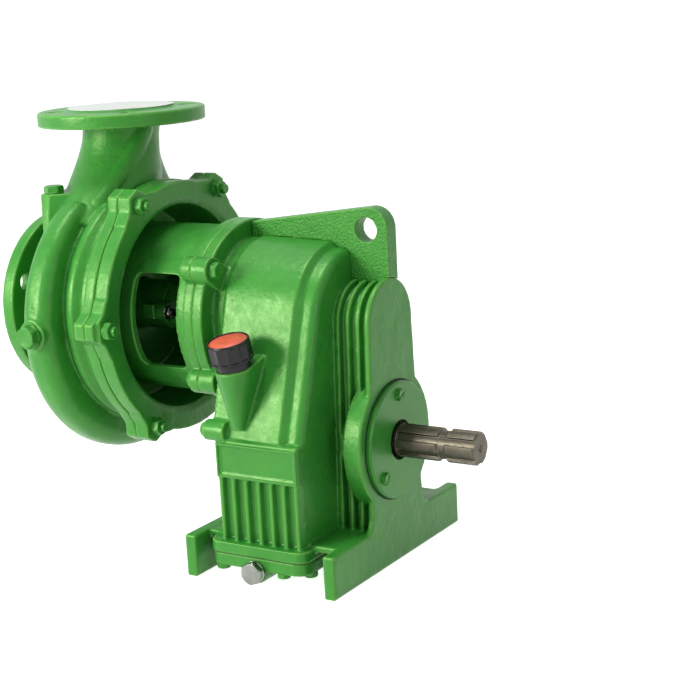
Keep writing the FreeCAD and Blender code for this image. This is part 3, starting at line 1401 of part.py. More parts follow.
def main():
    os.makedirs("parts", exist_ok=True)
    casing = gearbox_casing()
    export("gearbox_casing", casing)
    export("lifting_plate", lifting_plate(casing))
    export("sump_cover", sump_cover())
    export("sump_gasket", sump_gasket())
    export("sump_screws", sump_screws())
    export("drain_washer", drain_washer())
    export("drain_plug", drain_plug())
    export("level_plug", level_plug())
    export("bearing_cover", bearing_cover())
    export("bearing_cover_screws", cover_screws())
    export("pto_shaft_seal", oil_seal(pto_bearing_seat(), 8, SEAL_SEAT, SEAL_SEAT + 11, PTO_HEIGHT))
    export("rear_bearing_cap", rear_bearing_cap())
    export("pto_shaft", pto_shaft())
    export("drive_gear", drive_gear())
    export("drive_gear_key", drive_key())
    places = {
        "pto_front_bearing": (PTO_BEARING, pto_bearing_seat() - PTO_BEARING[2], PTO_HEIGHT),
        "pto_rear_bearing": (PTO_BEARING, rear_bearing_seat(), PTO_HEIGHT),
        "pinion_bearing": (PINION_BEARING, RIM_START - 3, PUMP_HEIGHT),
        "lantern_bearing": (LANTERN_BEARING, lantern_bearing_seat(), PUMP_HEIGHT),
    }
    for name, place in places.items():
        outer, inner, rollers = bearing(*place)
        export(f"{name}_outer", outer)
        export(f"{name}_inner", inner)
        export(f"{name}_rollers", rollers)
    export("pump_shaft", pump_shaft())
    export("pinion", pinion())
    journal = LANTERN_BEARING[0] / 2
    seal_start = GEARBOX_JOINT - PUMP_SEAL_WIDTH
    export("pump_shaft_seal", oil_seal(seal_start, PUMP_SEAL_WIDTH, journal, PUMP_SEAL_RADIUS, PUMP_HEIGHT))
    export("deflector_ring", deflector())
    export("shaft_sleeve", shaft_sleeve())
    export("impeller", impeller())
    export("impeller_key", impeller_key())
    export("impeller_nut", impeller_nut())
    export("wear_ring", wear_ring())
    export("lantern", lantern())
    export("packing_rings", packing_rings())
    export("gland_follower", gland_follower())
    export("gland_studs", gland_studs())
    export("gland_nuts", gland_nuts())
    export("volute_casing", volute_casing())
    export("top_plug", plug(TOP_PLUG, Z_DIR, PLUG_FLATS, 8, TOP_PLUG_STEM, 11))
    export("side_plug", plug(SIDE_PLUG, Y_DIR * -1, SIDE_PLUG_FLATS, 11, SIDE_PLUG_STEM, 11))
    export("neck_plug", plug(NECK_PLUG, X_DIR * -1, NECK_PLUG_FLATS, 5, NECK_PLUG_STEM, 8))
    export("lantern_bolts", lantern_bolts())
    export("lantern_nuts", lantern_nuts())
    export("casing_studs", casing_studs())
    export("casing_nuts", casing_nuts())
    export("filler_collar", filler_collar())
    export("filler_cap_seal", filler_cap_seal())
    export("filler_cap", filler_cap())
    export("filler_cap_disc", cap_disc())
    export("port_cover", port_cover())


main()
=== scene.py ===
import json
import math

import bmesh
import bpy
from mathutils import Matrix, Vector


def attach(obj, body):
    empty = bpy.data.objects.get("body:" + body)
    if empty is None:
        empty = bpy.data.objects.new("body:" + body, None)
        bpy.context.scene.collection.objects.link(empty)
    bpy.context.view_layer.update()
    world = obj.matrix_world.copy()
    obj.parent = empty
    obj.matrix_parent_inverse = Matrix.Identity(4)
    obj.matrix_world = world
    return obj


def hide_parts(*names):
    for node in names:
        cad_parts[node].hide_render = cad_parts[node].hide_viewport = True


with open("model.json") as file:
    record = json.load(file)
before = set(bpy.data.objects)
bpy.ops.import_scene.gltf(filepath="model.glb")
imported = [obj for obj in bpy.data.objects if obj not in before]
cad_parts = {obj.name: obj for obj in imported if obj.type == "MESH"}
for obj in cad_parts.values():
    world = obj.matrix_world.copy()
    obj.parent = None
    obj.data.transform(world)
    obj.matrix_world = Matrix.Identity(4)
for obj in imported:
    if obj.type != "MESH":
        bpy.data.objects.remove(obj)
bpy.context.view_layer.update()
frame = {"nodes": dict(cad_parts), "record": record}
NODES = frame["nodes"]
SLOT_OF = {row["node"]: row["material_slot"] for row in frame["record"]["subparts"]}
MM = 0.001
MERGE = 1e-6

# Camera at the photograph's angle: metres, degrees, and millimetres for lens and sensor
CAMERA_PLACE = Vector((0.81955, -1.3949, 0.5954))
CAMERA_TURN, CAMERA_RISE, CAMERA_ROLL = 31.753, 12.843, -2.83
CAMERA_LENS = 83.44
CAMERA_SENSOR = 36
CAMERA_REACH = 50

# Light: the room's soft share, what a straight look at it sees, and the lamps
ROOM_LIGHT = 0.24
BACKGROUND = 1.0
LAMP_AIM = (-0.17, 0, 0.2)
LAMPS = (
    # name, place, size, power, colour
    ("key_lamp", (-1.45, -2.0, 0.95), 1.0, 50, (1.0, 0.97, 0.90)),
    ("side_lamp", (2.4, -1.2, 0.9), 0.6, 6, (0.92, 0.97, 1.0)),
    ("top_lamp", (-0.5, -0.3, 2.4), 0.9, 24, (1.0, 1.0, 0.97)),
)

# Floor: half its side, its grey under the lamps and its glow to a straight look
FLOOR_HALF = 14.0
FLOOR_GREY = 0.8
FLOOR_GLOW = 0.92

# Paint, in linear colours: body, darker patches that also paint shade in hollows, painted highlight
# on crests and corners, and the tint of its gloss
GREEN = (0.044, 0.292, 0.034)
GREEN_PATCH_AND_SHADE = (0.014, 0.165, 0.028)
GREEN_HIGHLIGHT = (0.170, 0.480, 0.085)
SHEEN = (0.66, 1.0, 0.46, 1)
PAINT_GLOSS = 0.62

# Heights of the two shaft lines
INPUT_LINE = 0.131
PUMP_LINE = 0.256

# Discs that shut the gearbox where covers and bearings sit: middle, direction, radius, depth
GEARBOX_SHUT = (
    ((0.002, 0, INPUT_LINE), (1, 0, 0), 0.042, 0.004),
    ((-0.140, 0, INPUT_LINE), (1, 0, 0), 0.042, 0.004),
    ((-0.164, 0, PUMP_LINE), (1, 0, 0), 0.050, 0.004),
)

# Soft ridge on the neck: places in millimetres with their outward directions, and its section
NECK_RIDGE = (
    ((-300.5, 14.0, 446.0), (0.97, -0.20, -0.05)),
    ((-303.2, -2.9, 425.9), (0.87, -0.40, 0.29)),
    ((-308.7, -26.3, 403.6), (0.61, -0.64, 0.47)),
    ((-316.3, -57.8, 375.1), (0.54, -0.61, 0.58)),
)
RIDGE_WIDTH = 10 * MM
RIDGE_RISE = 4.4 * MM
RIDGE_THICK = 6.5 * MM
RIDGE_STEPS = 14

# Directions that screws, nuts and plugs face
UP, DOWN, OUT, BACK, NEAR = (0, 0, 1), (0, 0, -1), (1, 0, 0), (-1, 0, 0), (0, -1, 0)
FREE_TURN = math.pi
HEAD_SEED = 5
HEAD_POINTS = 48
FASTENERS = (
    # piece, node, body, direction, finish, most turn, then in millimetres:
    # width across flats, head height, shank radius, shank length, washer face radius
    ("sump_screw_heads", "sump_screws", "casing", DOWN, "green_paint_smooth", FREE_TURN,
     (13, 5.3, 4, 14, 7.2)),
    ("lantern_bolt_heads", "lantern_bolts", "casing", BACK, "green_paint_smooth", FREE_TURN,
     (16, 6.4, 5, 26, 8.6)),
    ("lantern_nut_heads", "lantern_nuts", "casing", OUT, "green_paint_smooth", FREE_TURN,
     (16, 8, 5.2, 0.4, 8.6)),
    ("casing_nut_heads", "casing_nuts", "casing", OUT, "green_paint_smooth", FREE_TURN,
     (17, 8.4, 5.2, 0.4, 9.2)),
    ("cover_screw_heads", "bearing_cover_screws", "casing", OUT, "green_paint_smooth", 0.9,
     (12, 4, 4, 17, 6.6)),
    ("gland_nut_heads", "gland_nuts", "gland", OUT, "zinc_steel", FREE_TURN,
     (13, 6.5, 4.2, 0.4, 7.1)),
    ("top_plug_head", "top_plug", "casing", UP, "green_paint_smooth", FREE_TURN,
     (19, 8, 8, 11, 10.4)),
    ("side_plug_head", "side_plug", "casing", NEAR, "green_paint_smooth", FREE_TURN,
     (22, 11, 9, 11, 12.2)),
    ("neck_plug_head", "neck_plug", "casing", BACK, "green_paint_smooth", FREE_TURN,
     (13, 5, 5, 8, 7.1)),
    ("level_plug_head", "level_plug", "casing", BACK, "green_paint_smooth", FREE_TURN,
     (14, 5, 5, 12, 7.6)),
    ("drain_plug_head", "drain_plug", "casing", NEAR, "zinc_steel", 0.7,
     (22, 9, 6, 12, 11.9)),
)
SLOTTED = ("cover_screw_heads",)
SLOT_WIDTH = 1.6 * MM
SLOT_DEPTH = 1.4 * MM
SLOT_LENGTH = 0.05

# Raised frame round the panel above the fins, on both sides
PANEL_X = (-0.136, -0.038)
PANEL_Z = (0.108, 0.145)
PANEL_FACE = 0.1197
FRAME_BAR = 3.4 * MM
FRAME_PROUD = 1.5 * MM
FRAME_SUNK = -1.0 * MM

# Filler cap
CAP_FOOT = Vector((-0.107, -0.1185, 0.2255))
CAP_AXIS = Vector((-0.059714, -0.207912, 0.976323))
CAP_BASE = 7.5 * MM
CAP_RADIUS = 22.5 * MM
CAP_HEIGHT = 21.5 * MM
CAP_STEM = 10 * MM
CAP_SEAT = 3 * MM
CAP_FLUTES = 12
FLUTE_DEPTH = 1.3 * MM
DISC_EDGE = 1.9 * MM
DISC_MIDDLE = 2.5 * MM

# Film on the upper port
FILM_THICK = 0.5 * MM
FILM_RIPPLE = 0.3 * MM
FILM_POINTS = 120

# Painted shadow in the seam round the bearing cover
SEAM_PLACE = 6.75 * MM
SEAM_RADIUS = 61.4 * MM
SEAM_WIDTH = 1.7 * MM
SEAM_DEPTH = 0.5 * MM
SEAM_POINTS = 120


# Camera, light and floor

def linked(name, data):
    item = bpy.data.objects.new(name, data)
    bpy.context.collection.objects.link(item)
    return item


def place_camera():
    turn, rise, roll = (math.radians(a) for a in (CAMERA_TURN, CAMERA_RISE, CAMERA_ROLL))
    level = Vector((-math.sin(turn), math.cos(turn), 0))
    right = Vector((math.cos(turn), math.sin(turn), 0))
    up = level * math.sin(rise) + Vector((0, 0, math.cos(rise)))
    back = level * -math.cos(rise) + Vector((0, 0, math.sin(rise)))
    across = math.cos(roll) * right + math.sin(roll) * up
    upward = math.cos(roll) * up - math.sin(roll) * right
    camera = linked("camera", bpy.data.cameras.new("camera"))
    camera.data.lens = CAMERA_LENS
    camera.data.sensor_width = CAMERA_SENSOR
    camera.data.clip_end = CAMERA_REACH
    turned = Matrix((across, upward, back)).transposed().to_4x4()
    camera.matrix_world = Matrix.Translation(CAMERA_PLACE) @ turned
    bpy.context.scene.camera = camera


def soft_lamp(name, place, size, power, colour):
    lamp = bpy.data.lights.new(name, "AREA")
    lamp.color = colour
    lamp.shape = "DISK"
    lamp.size = size
    lamp.energy = power
    lit = linked(name, lamp)
    lit.location = place
    lit.rotation_euler = (Vector(LAMP_AIM) - Vector(place)).to_track_quat("-Z", "Y").to_euler()


def seen_ray(tree):
    """One where the camera, a reflection or a clear body looks straight at the surface."""
    path = tree.nodes.new("ShaderNodeLightPath").outputs
    either = math_node(tree, "MAXIMUM", path["Is Camera Ray"], path["Is Glossy Ray"])
    return math_node(tree, "MAXIMUM", either, path["Is Transmission Ray"])


def light_room():
    world = bpy.data.worlds.new("studio")
    bpy.context.scene.world = world
    world.use_nodes = True
    tree = world.node_tree
    soft = tree.nodes["Background"]
    seen = tree.nodes.new("ShaderNodeBackground")
    for shade, strength in ((soft, ROOM_LIGHT), (seen, BACKGROUND)):
        shade.inputs["Color"].default_value = (1, 1, 1, 1)
        shade.inputs["Strength"].default_value = strength
    mix = tree.nodes.new("ShaderNodeMixShader")
    tree.links.new(seen_ray(tree), mix.inputs["Fac"])
    tree.links.new(soft.outputs[0], mix.inputs[1])
    tree.links.new(seen.outputs[0], mix.inputs[2])
    tree.links.new(mix.outputs[0], tree.nodes["World Output"].inputs["Surface"])
    for lamp in LAMPS:
        soft_lamp(*lamp)


def lay_floor():
    half = FLOOR_HALF
    corners = [(-half, -half, 0), (half, -half, 0), (half, half, 0), (-half, half, 0)]
    mesh = bpy.data.meshes.new("floor")
    mesh.from_pydata(corners, [], [(0, 1, 2, 3)])
    floor = linked("floor", mesh)
    paper = bpy.data.materials.new("paper")
    paper.use_nodes = True
    tree = paper.node_tree
    tree.nodes.clear()
    out = tree.nodes.new("ShaderNodeOutputMaterial")
    matt = tree.nodes.new("ShaderNodeBsdfDiffuse")
    matt.inputs["Color"].default_value = (FLOOR_GREY, FLOOR_GREY, FLOOR_GREY, 1)
    glow = tree.nodes.new("ShaderNodeEmission")
    glow.inputs["Color"].default_value = (1, 1, 1, 1)
    dim = math_node(tree, "MULTIPLY", seen_ray(tree), FLOOR_GLOW)
    tree.links.new(dim, glow.inputs["Strength"])
    add = tree.nodes.new("ShaderNodeAddShader")
    tree.links.new(matt.outputs[0], add.inputs[0])
    tree.links.new(glow.outputs[0], add.inputs[1])
    tree.links.new(add.outputs[0], out.inputs["Surface"])
    mesh.materials.append(paper)


# Shader node groups

def group(name, inputs, outputs):
    """Empty shader group with its sockets; returns the tree and its two end nodes."""
    tree = bpy.data.node_groups.new(name, "ShaderNodeTree")
    for title, kind, value in inputs:
        made = tree.interface.new_socket(name=title, in_out="INPUT", socket_type=kind)
        made.default_value = value
    for title, kind in outputs:
        tree.interface.new_socket(name=title, in_out="OUTPUT", socket_type=kind)
    return tree, tree.nodes.new("NodeGroupInput"), tree.nodes.new("NodeGroupOutput")


def math_node(tree, operation, first, second):
    """Result of a sum on two values; each is a number or the output of another node."""
    node = tree.nodes.new("ShaderNodeMath")
    node.operation = operation
    for slot, value in zip(node.inputs, (first, second)):
        if isinstance(value, (int, float)):
            slot.default_value = value
        else:
            tree.links.new(value, slot)
    return node.outputs[0]


def ranged(tree, value, low, high, to_low=0.0, to_high=1.0):
    node = tree.nodes.new("ShaderNodeMapRange")
    tree.links.new(value, node.inputs["Value"])
    limits = {"From Min": low, "From Max": high, "To Min": to_low, "To Max": to_high}
    for title, number in limits.items():
        node.inputs[title].default_value = number
    return node.outputs["Result"]


def noise(tree, vector, size, detail=3.0, rough=0.55):
    """Noise whose cells are a given size in metres."""
    node = tree.nodes.new("ShaderNodeTexNoise")
    tree.links.new(vector, node.inputs["Vector"])
    tree.links.new(math_node(tree, "DIVIDE", 1.0, size), node.inputs["Scale"])
    node.inputs["Detail"].default_value = detail
    node.inputs["Roughness"].default_value = rough
    return node.outputs["Fac"]


def grain_group():
    """Fine height of a surface and the broad patches of its colour."""
    tree, given, out = group(
        "surface_grain",
        [("Grain Size", "NodeSocketFloat", 0.003), ("Patch Size", "NodeSocketFloat", 0.05),
         ("Stretch", "NodeSocketVector", (1, 1, 1))],
        [("Height", "NodeSocketFloat"), ("Patch", "NodeSocketFloat")],
    )
    place = tree.nodes.new("ShaderNodeTexCoord").outputs["Object"]
    scale = tree.nodes.new("ShaderNodeVectorMath")
    scale.operation = "MULTIPLY"
    tree.links.new(place, scale.inputs[0])
    tree.links.new(given.outputs["Stretch"], scale.inputs[1])
    fine = noise(tree, scale.outputs[0], given.outputs["Grain Size"])
    broad = noise(tree, place, given.outputs["Patch Size"], 4.0, 0.6)
    tree.links.new(fine, out.inputs["Height"])
    tree.links.new(ranged(tree, broad, 0.3, 0.7), out.inputs["Patch"])
    return tree


def edge_group():
    """Mask of outer corners and a rounded normal, for machined pieces with sharp edges."""
    tree, given, out = group(
        "rounded_edges",
        [("Radius", "NodeSocketFloat", 0.0006)],
        [("Mask", "NodeSocketFloat"), ("Normal", "NodeSocketVector")],
    )
    bevel = tree.nodes.new("ShaderNodeBevel")
    bevel.samples = 6
    tree.links.new(given.outputs["Radius"], bevel.inputs["Radius"])
    shape = tree.nodes.new("ShaderNodeNewGeometry")
    dot = tree.nodes.new("ShaderNodeVectorMath")
    dot.operation = "DOT_PRODUCT"
    tree.links.new(bevel.outputs[0], dot.inputs[0])
    tree.links.new(shape.outputs["True Normal"], dot.inputs[1])
    tree.links.new(ranged(tree, dot.outputs["Value"], 0.97, 0.80), out.inputs["Mask"])
    tree.links.new(bevel.outputs[0], out.inputs["Normal"])
    return tree


def ridge_group():
    """Masks of the crests and hollows of a smooth casting, used for painted highlight and painted
    shade.
    """
    tree, given, out = group(
        "crests_and_hollows",
        [("Width", "NodeSocketFloat", 0.06)],
        [("Crest", "NodeSocketFloat"), ("Hollow", "NodeSocketFloat")],
    )
    shape = tree.nodes.new("ShaderNodeNewGeometry")
    rise = math_node(tree, "SUBTRACT", shape.outputs["Pointiness"], 0.5)
    share = math_node(tree, "DIVIDE", rise, given.outputs["Width"])
    tree.links.new(ranged(tree, share, 0.25, 1.0), out.inputs["Crest"])
    tree.links.new(ranged(tree, share, -0.2, -1.0), out.inputs["Hollow"])
    return tree


GROUPS = {"grain": grain_group(), "edges": edge_group(), "ridges": ridge_group()}


def placed(tree, name, **values):
    """One of the groups in a material's tree, with its inputs set."""
    node = tree.nodes.new("ShaderNodeGroup")
    node.node_tree = GROUPS[name]
    for title, value in values.items():
        node.inputs[title.replace("_", " ")].default_value = value
    return node


def blended(tree, share, first, second):
    """Mix of two colours; each is a colour or the output of another node."""
    node = tree.nodes.new("ShaderNodeMix")
    node.data_type = "RGBA"
    if isinstance(share, float):
        node.inputs["Factor"].default_value = share
    else:
        tree.links.new(share, node.inputs["Factor"])
    for slot, value in zip((node.inputs[6], node.inputs[7]), (first, second)):
        if isinstance(value, tuple):
            slot.default_value = (*value, 1)
        else:
            tree.links.new(value, slot)
    return node.outputs[2]


def blank_finish(name, **constants):
    """New material with the values that are the same all over it."""
    material = bpy.data.materials.new(name)
    material.use_nodes = True
    shader = material.node_tree.nodes["Principled BSDF"]
    for title, value in constants.items():
        shader.inputs[title.replace("_", " ")].default_value = value
    return material, material.node_tree, shader


def bumped(tree, shader, height, depth, normal=None):
    bump = tree.nodes.new("ShaderNodeBump")
    bump.inputs["Strength"].default_value = 1.0
    bump.inputs["Distance"].default_value = depth
    tree.links.new(height, bump.inputs["Height"])
    if normal is not None:
        tree.links.new(normal, bump.inputs["Normal"])
    tree.links.new(bump.outputs["Normal"], shader.inputs["Normal"])


# Finishes

def cast_paint(name, depth, grain_size, wave_share):
    """Glossy paint over a sand casting, with painted highlight on crests and painted shade in
    hollows.
    """
    material, tree, shader = blank_finish(
        name, Specular_IOR_Level=PAINT_GLOSS, Specular_Tint=SHEEN)
    grain = placed(tree, "grain", Grain_Size=grain_size, Patch_Size=0.030)
    fine = placed(tree, "grain", Grain_Size=0.0011, Patch_Size=0.012)
    wave = placed(tree, "grain", Grain_Size=0.016, Patch_Size=0.1)
    ridges = placed(tree, "ridges", Width=0.05)
    tone = blended(tree, grain.outputs["Patch"], GREEN_PATCH_AND_SHADE, GREEN)
    tone = blended(tree, 0.55, tone, GREEN)
    # Painted highlight: crests made lighter as if lit
    crest_highlight = math_node(tree, "MULTIPLY", ridges.outputs["Crest"], 0.6)
    tone = blended(tree, crest_highlight, tone, GREEN_HIGHLIGHT)
    # Painted shade: hollows made darker as if shadowed
    hollow_shade = math_node(tree, "MULTIPLY", ridges.outputs["Hollow"], 0.85)
    tone = blended(tree, hollow_shade, tone, GREEN_PATCH_AND_SHADE)
    tree.links.new(tone, shader.inputs["Base Color"])
    rough = ranged(tree, fine.outputs["Patch"], 0, 1, 0.30, 0.44)
    tree.links.new(rough, shader.inputs["Roughness"])
    small = math_node(tree, "MULTIPLY", fine.outputs["Height"], 0.25)
    broad = math_node(tree, "MULTIPLY", wave.outputs["Height"], wave_share)
    height = math_node(tree, "ADD", grain.outputs["Height"], small)
    bumped(tree, shader, math_node(tree, "ADD", height, broad), depth)
    return material


def plain_paint():
    """The same paint over drawn or machined metal, with a painted highlight on the corners."""
    material, tree, shader = blank_finish(
        "smooth_paint", Specular_IOR_Level=PAINT_GLOSS, Specular_Tint=SHEEN)
    grain = placed(tree, "grain", Grain_Size=0.0024, Patch_Size=0.03)
    edges = placed(tree, "edges", Radius=0.0009)
    tone = blended(tree, grain.outputs["Patch"], GREEN_PATCH_AND_SHADE, GREEN)
    tone = blended(tree, 0.6, tone, GREEN)
    # Painted highlight: the corners are made lighter as if catching the light
    paler_corners = math_node(tree, "MULTIPLY", edges.outputs["Mask"], 0.45)
    tone = blended(tree, paler_corners, tone, GREEN_HIGHLIGHT)
    tree.links.new(tone, shader.inputs["Base Color"])
    rough = ranged(tree, grain.outputs["Patch"], 0, 1, 0.30, 0.42)
    tree.links.new(rough, shader.inputs["Roughness"])
    bumped(tree, shader, grain.outputs["Height"], 0.00025, edges.outputs["Normal"])
    return material


def metal(name, colour, worn_colour, rough, stretch=(1, 1, 1),
          grain_size=0.0012, depth=0.00008, radius=0.0006):
    """Bare metal with machining marks, patches of tarnish and bright corners."""
    material, tree, shader = blank_finish(name, Metallic=1.0)
    grain = placed(tree, "grain", Grain_Size=grain_size, Patch_Size=0.018, Stretch=stretch)
    edges = placed(tree, "edges", Radius=radius)
    dark = tuple(c * 0.62 for c in colour)
    tone = blended(tree, grain.outputs["Patch"], dark, colour)
    tone = blended(tree, edges.outputs["Mask"], tone, worn_colour)
    tree.links.new(tone, shader.inputs["Base Color"])
    skin = ranged(tree, grain.outputs["Height"], 0.3, 0.7, rough - 0.08, rough + 0.1)
    tree.links.new(skin, shader.inputs["Roughness"])
    bumped(tree, shader, grain.outputs["Height"], depth, edges.outputs["Normal"])
    return material


def moulded(name, colour, rough, grain_size=0.0007, depth=0.00006,
            lift=1.5, radius=0.0005, gloss=0.5):
    """Plastic, rubber or fibre with a fine skin and paler rubbed corners."""
    material, tree, shader = blank_finish(name, Specular_IOR_Level=gloss)
    grain = placed(tree, "grain", Grain_Size=grain_size, Patch_Size=0.012)
    edges = placed(tree, "edges", Radius=radius)
    pale = tuple(min(1.0, c * lift + 0.01) for c in colour)
    dark = tuple(c * 0.85 for c in colour)
    tone = blended(tree, grain.outputs["Patch"], dark, colour)
    paler_corners = math_node(tree, "MULTIPLY", edges.outputs["Mask"], 0.6)
    tone = blended(tree, paler_corners, tone, pale)
    tree.links.new(tone, shader.inputs["Base Color"])
    skin = ranged(tree, grain.outputs["Patch"], 0, 1, rough - 0.06, rough + 0.08)
    tree.links.new(skin, shader.inputs["Roughness"])
    bumped(tree, shader, grain.outputs["Height"], depth, edges.outputs["Normal"])
    return material


FINISHES = {
    "green_paint": cast_paint("cast_paint", 0.00026, 0.0048, 3.4),
    "rough_plate": cast_paint("rough_plate", 0.0016, 0.0030, 0.3),
    "green_paint_smooth": plain_paint(),
    "machined_steel": metal("machined_steel", (0.42, 0.41, 0.39), (0.62, 0.61, 0.58), 0.32),
    "dark_steel": metal("shaft_steel", (0.115, 0.104, 0.080), (0.32, 0.30, 0.25), 0.38,
                        (0.25, 1, 1), 0.0016, 0.00012),
    "ground_steel": metal("ground_steel", (0.55, 0.55, 0.55), (0.70, 0.70, 0.70), 0.20),
    "zinc_steel": metal("zinc_plate", (0.30, 0.31, 0.29), (0.62, 0.62, 0.60), 0.22,
                        (1, 6, 1)),
    "grey_iron": metal("grey_iron", (0.11, 0.11, 0.11), (0.20, 0.20, 0.20), 0.62,
                       (1, 1, 1), 0.003, 0.0004),
    "bronze": metal("bronze", (0.48, 0.31, 0.13), (0.62, 0.44, 0.22), 0.30),
    "black_rubber": moulded("black_rubber", (0.018, 0.018, 0.018), 0.62),
    "gasket_paper": moulded("painted_gasket", (0.026, 0.150, 0.022), 0.60, 0.001, 0.0001),
    # Painted shadow for the gap round the bearing cover
    "seam_shadow": moulded("seam_shadow", (0.003, 0.014, 0.003), 0.80, 0.001, 0.0001),
    "packing_fibre": moulded("packing_fibre", (0.05, 0.048, 0.042), 0.75, 0.0022, 0.0005),
    "black_plastic": moulded("black_plastic", (0.009, 0.009, 0.010), 0.30,
                             lift=1.3, gloss=0.32),
    "red_plastic": moulded("red_plastic", (0.80, 0.135, 0.075), 0.36, 0.0009, 0.00005, 1.1),
    "white_plastic": moulded("white_film", (0.74, 0.80, 0.76), 0.40, 0.006, 0.0003, 1.05),
}


def dress_cad():
    """Every node of the frame takes the finish of its own slot."""
    for node, slot in SLOT_OF.items():
        NODES[node].data.materials.clear()
        NODES[node].data.materials.append(FINISHES[slot])


def finished(name, mesh, body, node, finish):
    """Puts a finished mesh on its body, in the place of a CAD node where one is given."""
    mesh.materials.clear()
    mesh.materials.append(FINISHES[finish])
    piece = linked(name, mesh)
    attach(piece, body)
    if node is not None:
        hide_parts(node)


# Meshes and their copies

def copy_of(node):
    """Editable copy of a CAD node with its triangles joined."""
    shell = bmesh.new()
    shell.from_mesh(NODES[node].data)
    bmesh.ops.remove_doubles(shell, verts=shell.verts, dist=MERGE)
    return shell


def mesh_of(name, shell):
    mesh = bpy.data.meshes.new(name)
    shell.to_mesh(mesh)
    shell.free()
    return mesh


def evaluated(item):
    return item.evaluated_get(bpy.context.evaluated_depsgraph_get())


def settled(item):
    """Plain mesh of an object with its modifiers applied."""
    bpy.context.view_layer.update()
    return bpy.data.meshes.new_from_object(evaluated(item))


def aimed(along):
    """Turn that takes Z to a given direction."""
    return Vector((0, 0, 1)).rotation_difference(Vector(along)).to_matrix().to_4x4()


def join_rings(shell, low, high):
    """Faces between two rings with the same number of points."""
    for k in range(len(low)):
        after = (k + 1) % len(low)
        shell.faces.new((low[k], low[after], high[after], high[k]))


def softened(mesh, degrees=32):
    """Smooth shading, except at corners sharper than an angle."""
    mesh.shade_smooth()
    mesh.set_sharp_from_angle(angle=math.radians(degrees))
    return mesh


# Castings with their corners rounded

def disc_into(shell, centre, along, radius, depth):
    """Adds a closed disc to a mesh, to shut an opening that another piece covers."""
    place = Matrix.Translation(Vector(centre)) @ aimed(along)
    bmesh.ops.create_cone(shell, cap_ends=True, segments=48, radius1=radius, radius2=radius,
                          depth=depth, matrix=place)


def ridge_into(shell, path):
    """Adds a low soft ridge to a mesh, along places on its surface."""
    section = Matrix.Diagonal((RIDGE_WIDTH, RIDGE_WIDTH, RIDGE_THICK, 1))
    for (first, first_out), (second, second_out) in zip(path, path[1:]):
        for k in range(RIDGE_STEPS):
            share = k / RIDGE_STEPS
            out = Vector(first_out).lerp(Vector(second_out), share).normalized()
            place = Vector(first).lerp(Vector(second), share) * MM
            place += out * (RIDGE_RISE - RIDGE_THICK)
            shape = Matrix.Translation(place) @ aimed(out) @ section
            bmesh.ops.create_icosphere(shell, subdivisions=2, radius=1.0, matrix=shape)


def casting(name, node, voxel, passes, triangles, shut=(), ridge=(), finish="green_paint"):
    """Skin over a CAD casting with soft corners, as sand and paint leave them."""
    shell = copy_of(node)
    for disc in shut:
        disc_into(shell, *disc)
    ridge_into(shell, ridge)
    mesh = mesh_of(f"{name}_raw", shell)
    raw = linked(f"{name}_raw", mesh)
    skin = raw.modifiers.new("skin", "REMESH")
    skin.mode = "VOXEL"
    skin.voxel_size = voxel
    skin.use_smooth_shade = True
    soft = raw.modifiers.new("soften", "SMOOTH")
    soft.factor = 0.5
    soft.iterations = passes
    count = len(evaluated(raw).data.polygons) * 2
    if count > triangles:
        thin = raw.modifiers.new("thin", "DECIMATE")
        thin.ratio = triangles / count
    done = settled(raw)
    bpy.data.objects.remove(raw)
    bpy.data.meshes.remove(mesh)
    done.name = name
    done.shade_smooth()
    finished(name, done, "casing", node, finish)


def make_castings():
    casting("gearbox_cast", "gearbox_casing", 1.4 * MM, 4, 196000, shut=GEARBOX_SHUT)
    casting("volute_cast", "volute_casing", 1.7 * MM, 5, 190000, ridge=NECK_RIDGE)
    casting("lantern_cast", "lantern", 1.5 * MM, 4, 150000)
    casting("sump_cast", "sump_cover", 1.2 * MM, 3, 60000)
    casting("plate_cast", "lifting_plate", 1.3 * MM, 2, 60000, finish="rough_plate")


# Bodies of rings round an axis

def ringed(name, rows, count, outline=None):
    """Closed body of rings round Z; a row is height, radius and whether the outline shapes it."""
    shell = bmesh.new()
    rings = []
    for height, radius, shaped in rows:
        ring = []
        for k in range(count):
            angle = 2 * math.pi * k / count
            reach = outline(angle, radius) if shaped else radius
            ring.append(shell.verts.new((reach * math.cos(angle), reach * math.sin(angle), height)))
        rings.append(ring)
    for low, high in zip(rings, rings[1:]):
        join_rings(shell, low, high)
    shell.faces.new(list(reversed(rings[0])))
    shell.faces.new(rings[-1])
    return mesh_of(name, shell)


def hexed(flats):
    """Outline that clips a ring to a hexagon."""
    def clip(angle, radius):
        return min(radius, flats / 2 / math.cos(angle % (math.pi / 3) - math.pi / 6))
    return clip


def head_mesh(name, flats, height, shank_radius, shank, collar):
    """Hexagon head with a washer face, rounded corners above and a plain shank below."""
    corner = flats / math.sqrt(3)
    tip = min(0.5 * MM, shank_radius / 4)
    rows = [
        (-shank, shank_radius - tip, False),
        (tip - shank, shank_radius, False),
        (0, shank_radius, False),
        (0, collar - 0.2 * MM, False),
        (0.2 * MM, collar, False),
        (0.12 * height, collar, False),
        (0.16 * height, corner, True),
        (0.70 * height, corner, True),
    ]
    for share in (0.25, 0.5, 0.75, 1.0):
        rows.append((height * (0.70 + 0.28 * share), corner * (1 - 0.15 * share ** 1.7), True))
    rows.append((height, 0.41 * flats, False))
    rows.append((height - 0.02 * flats, 0.36 * flats, False))
    return ringed(name, rows, HEAD_POINTS, hexed(flats))


# Screw heads spread over their places by one node group

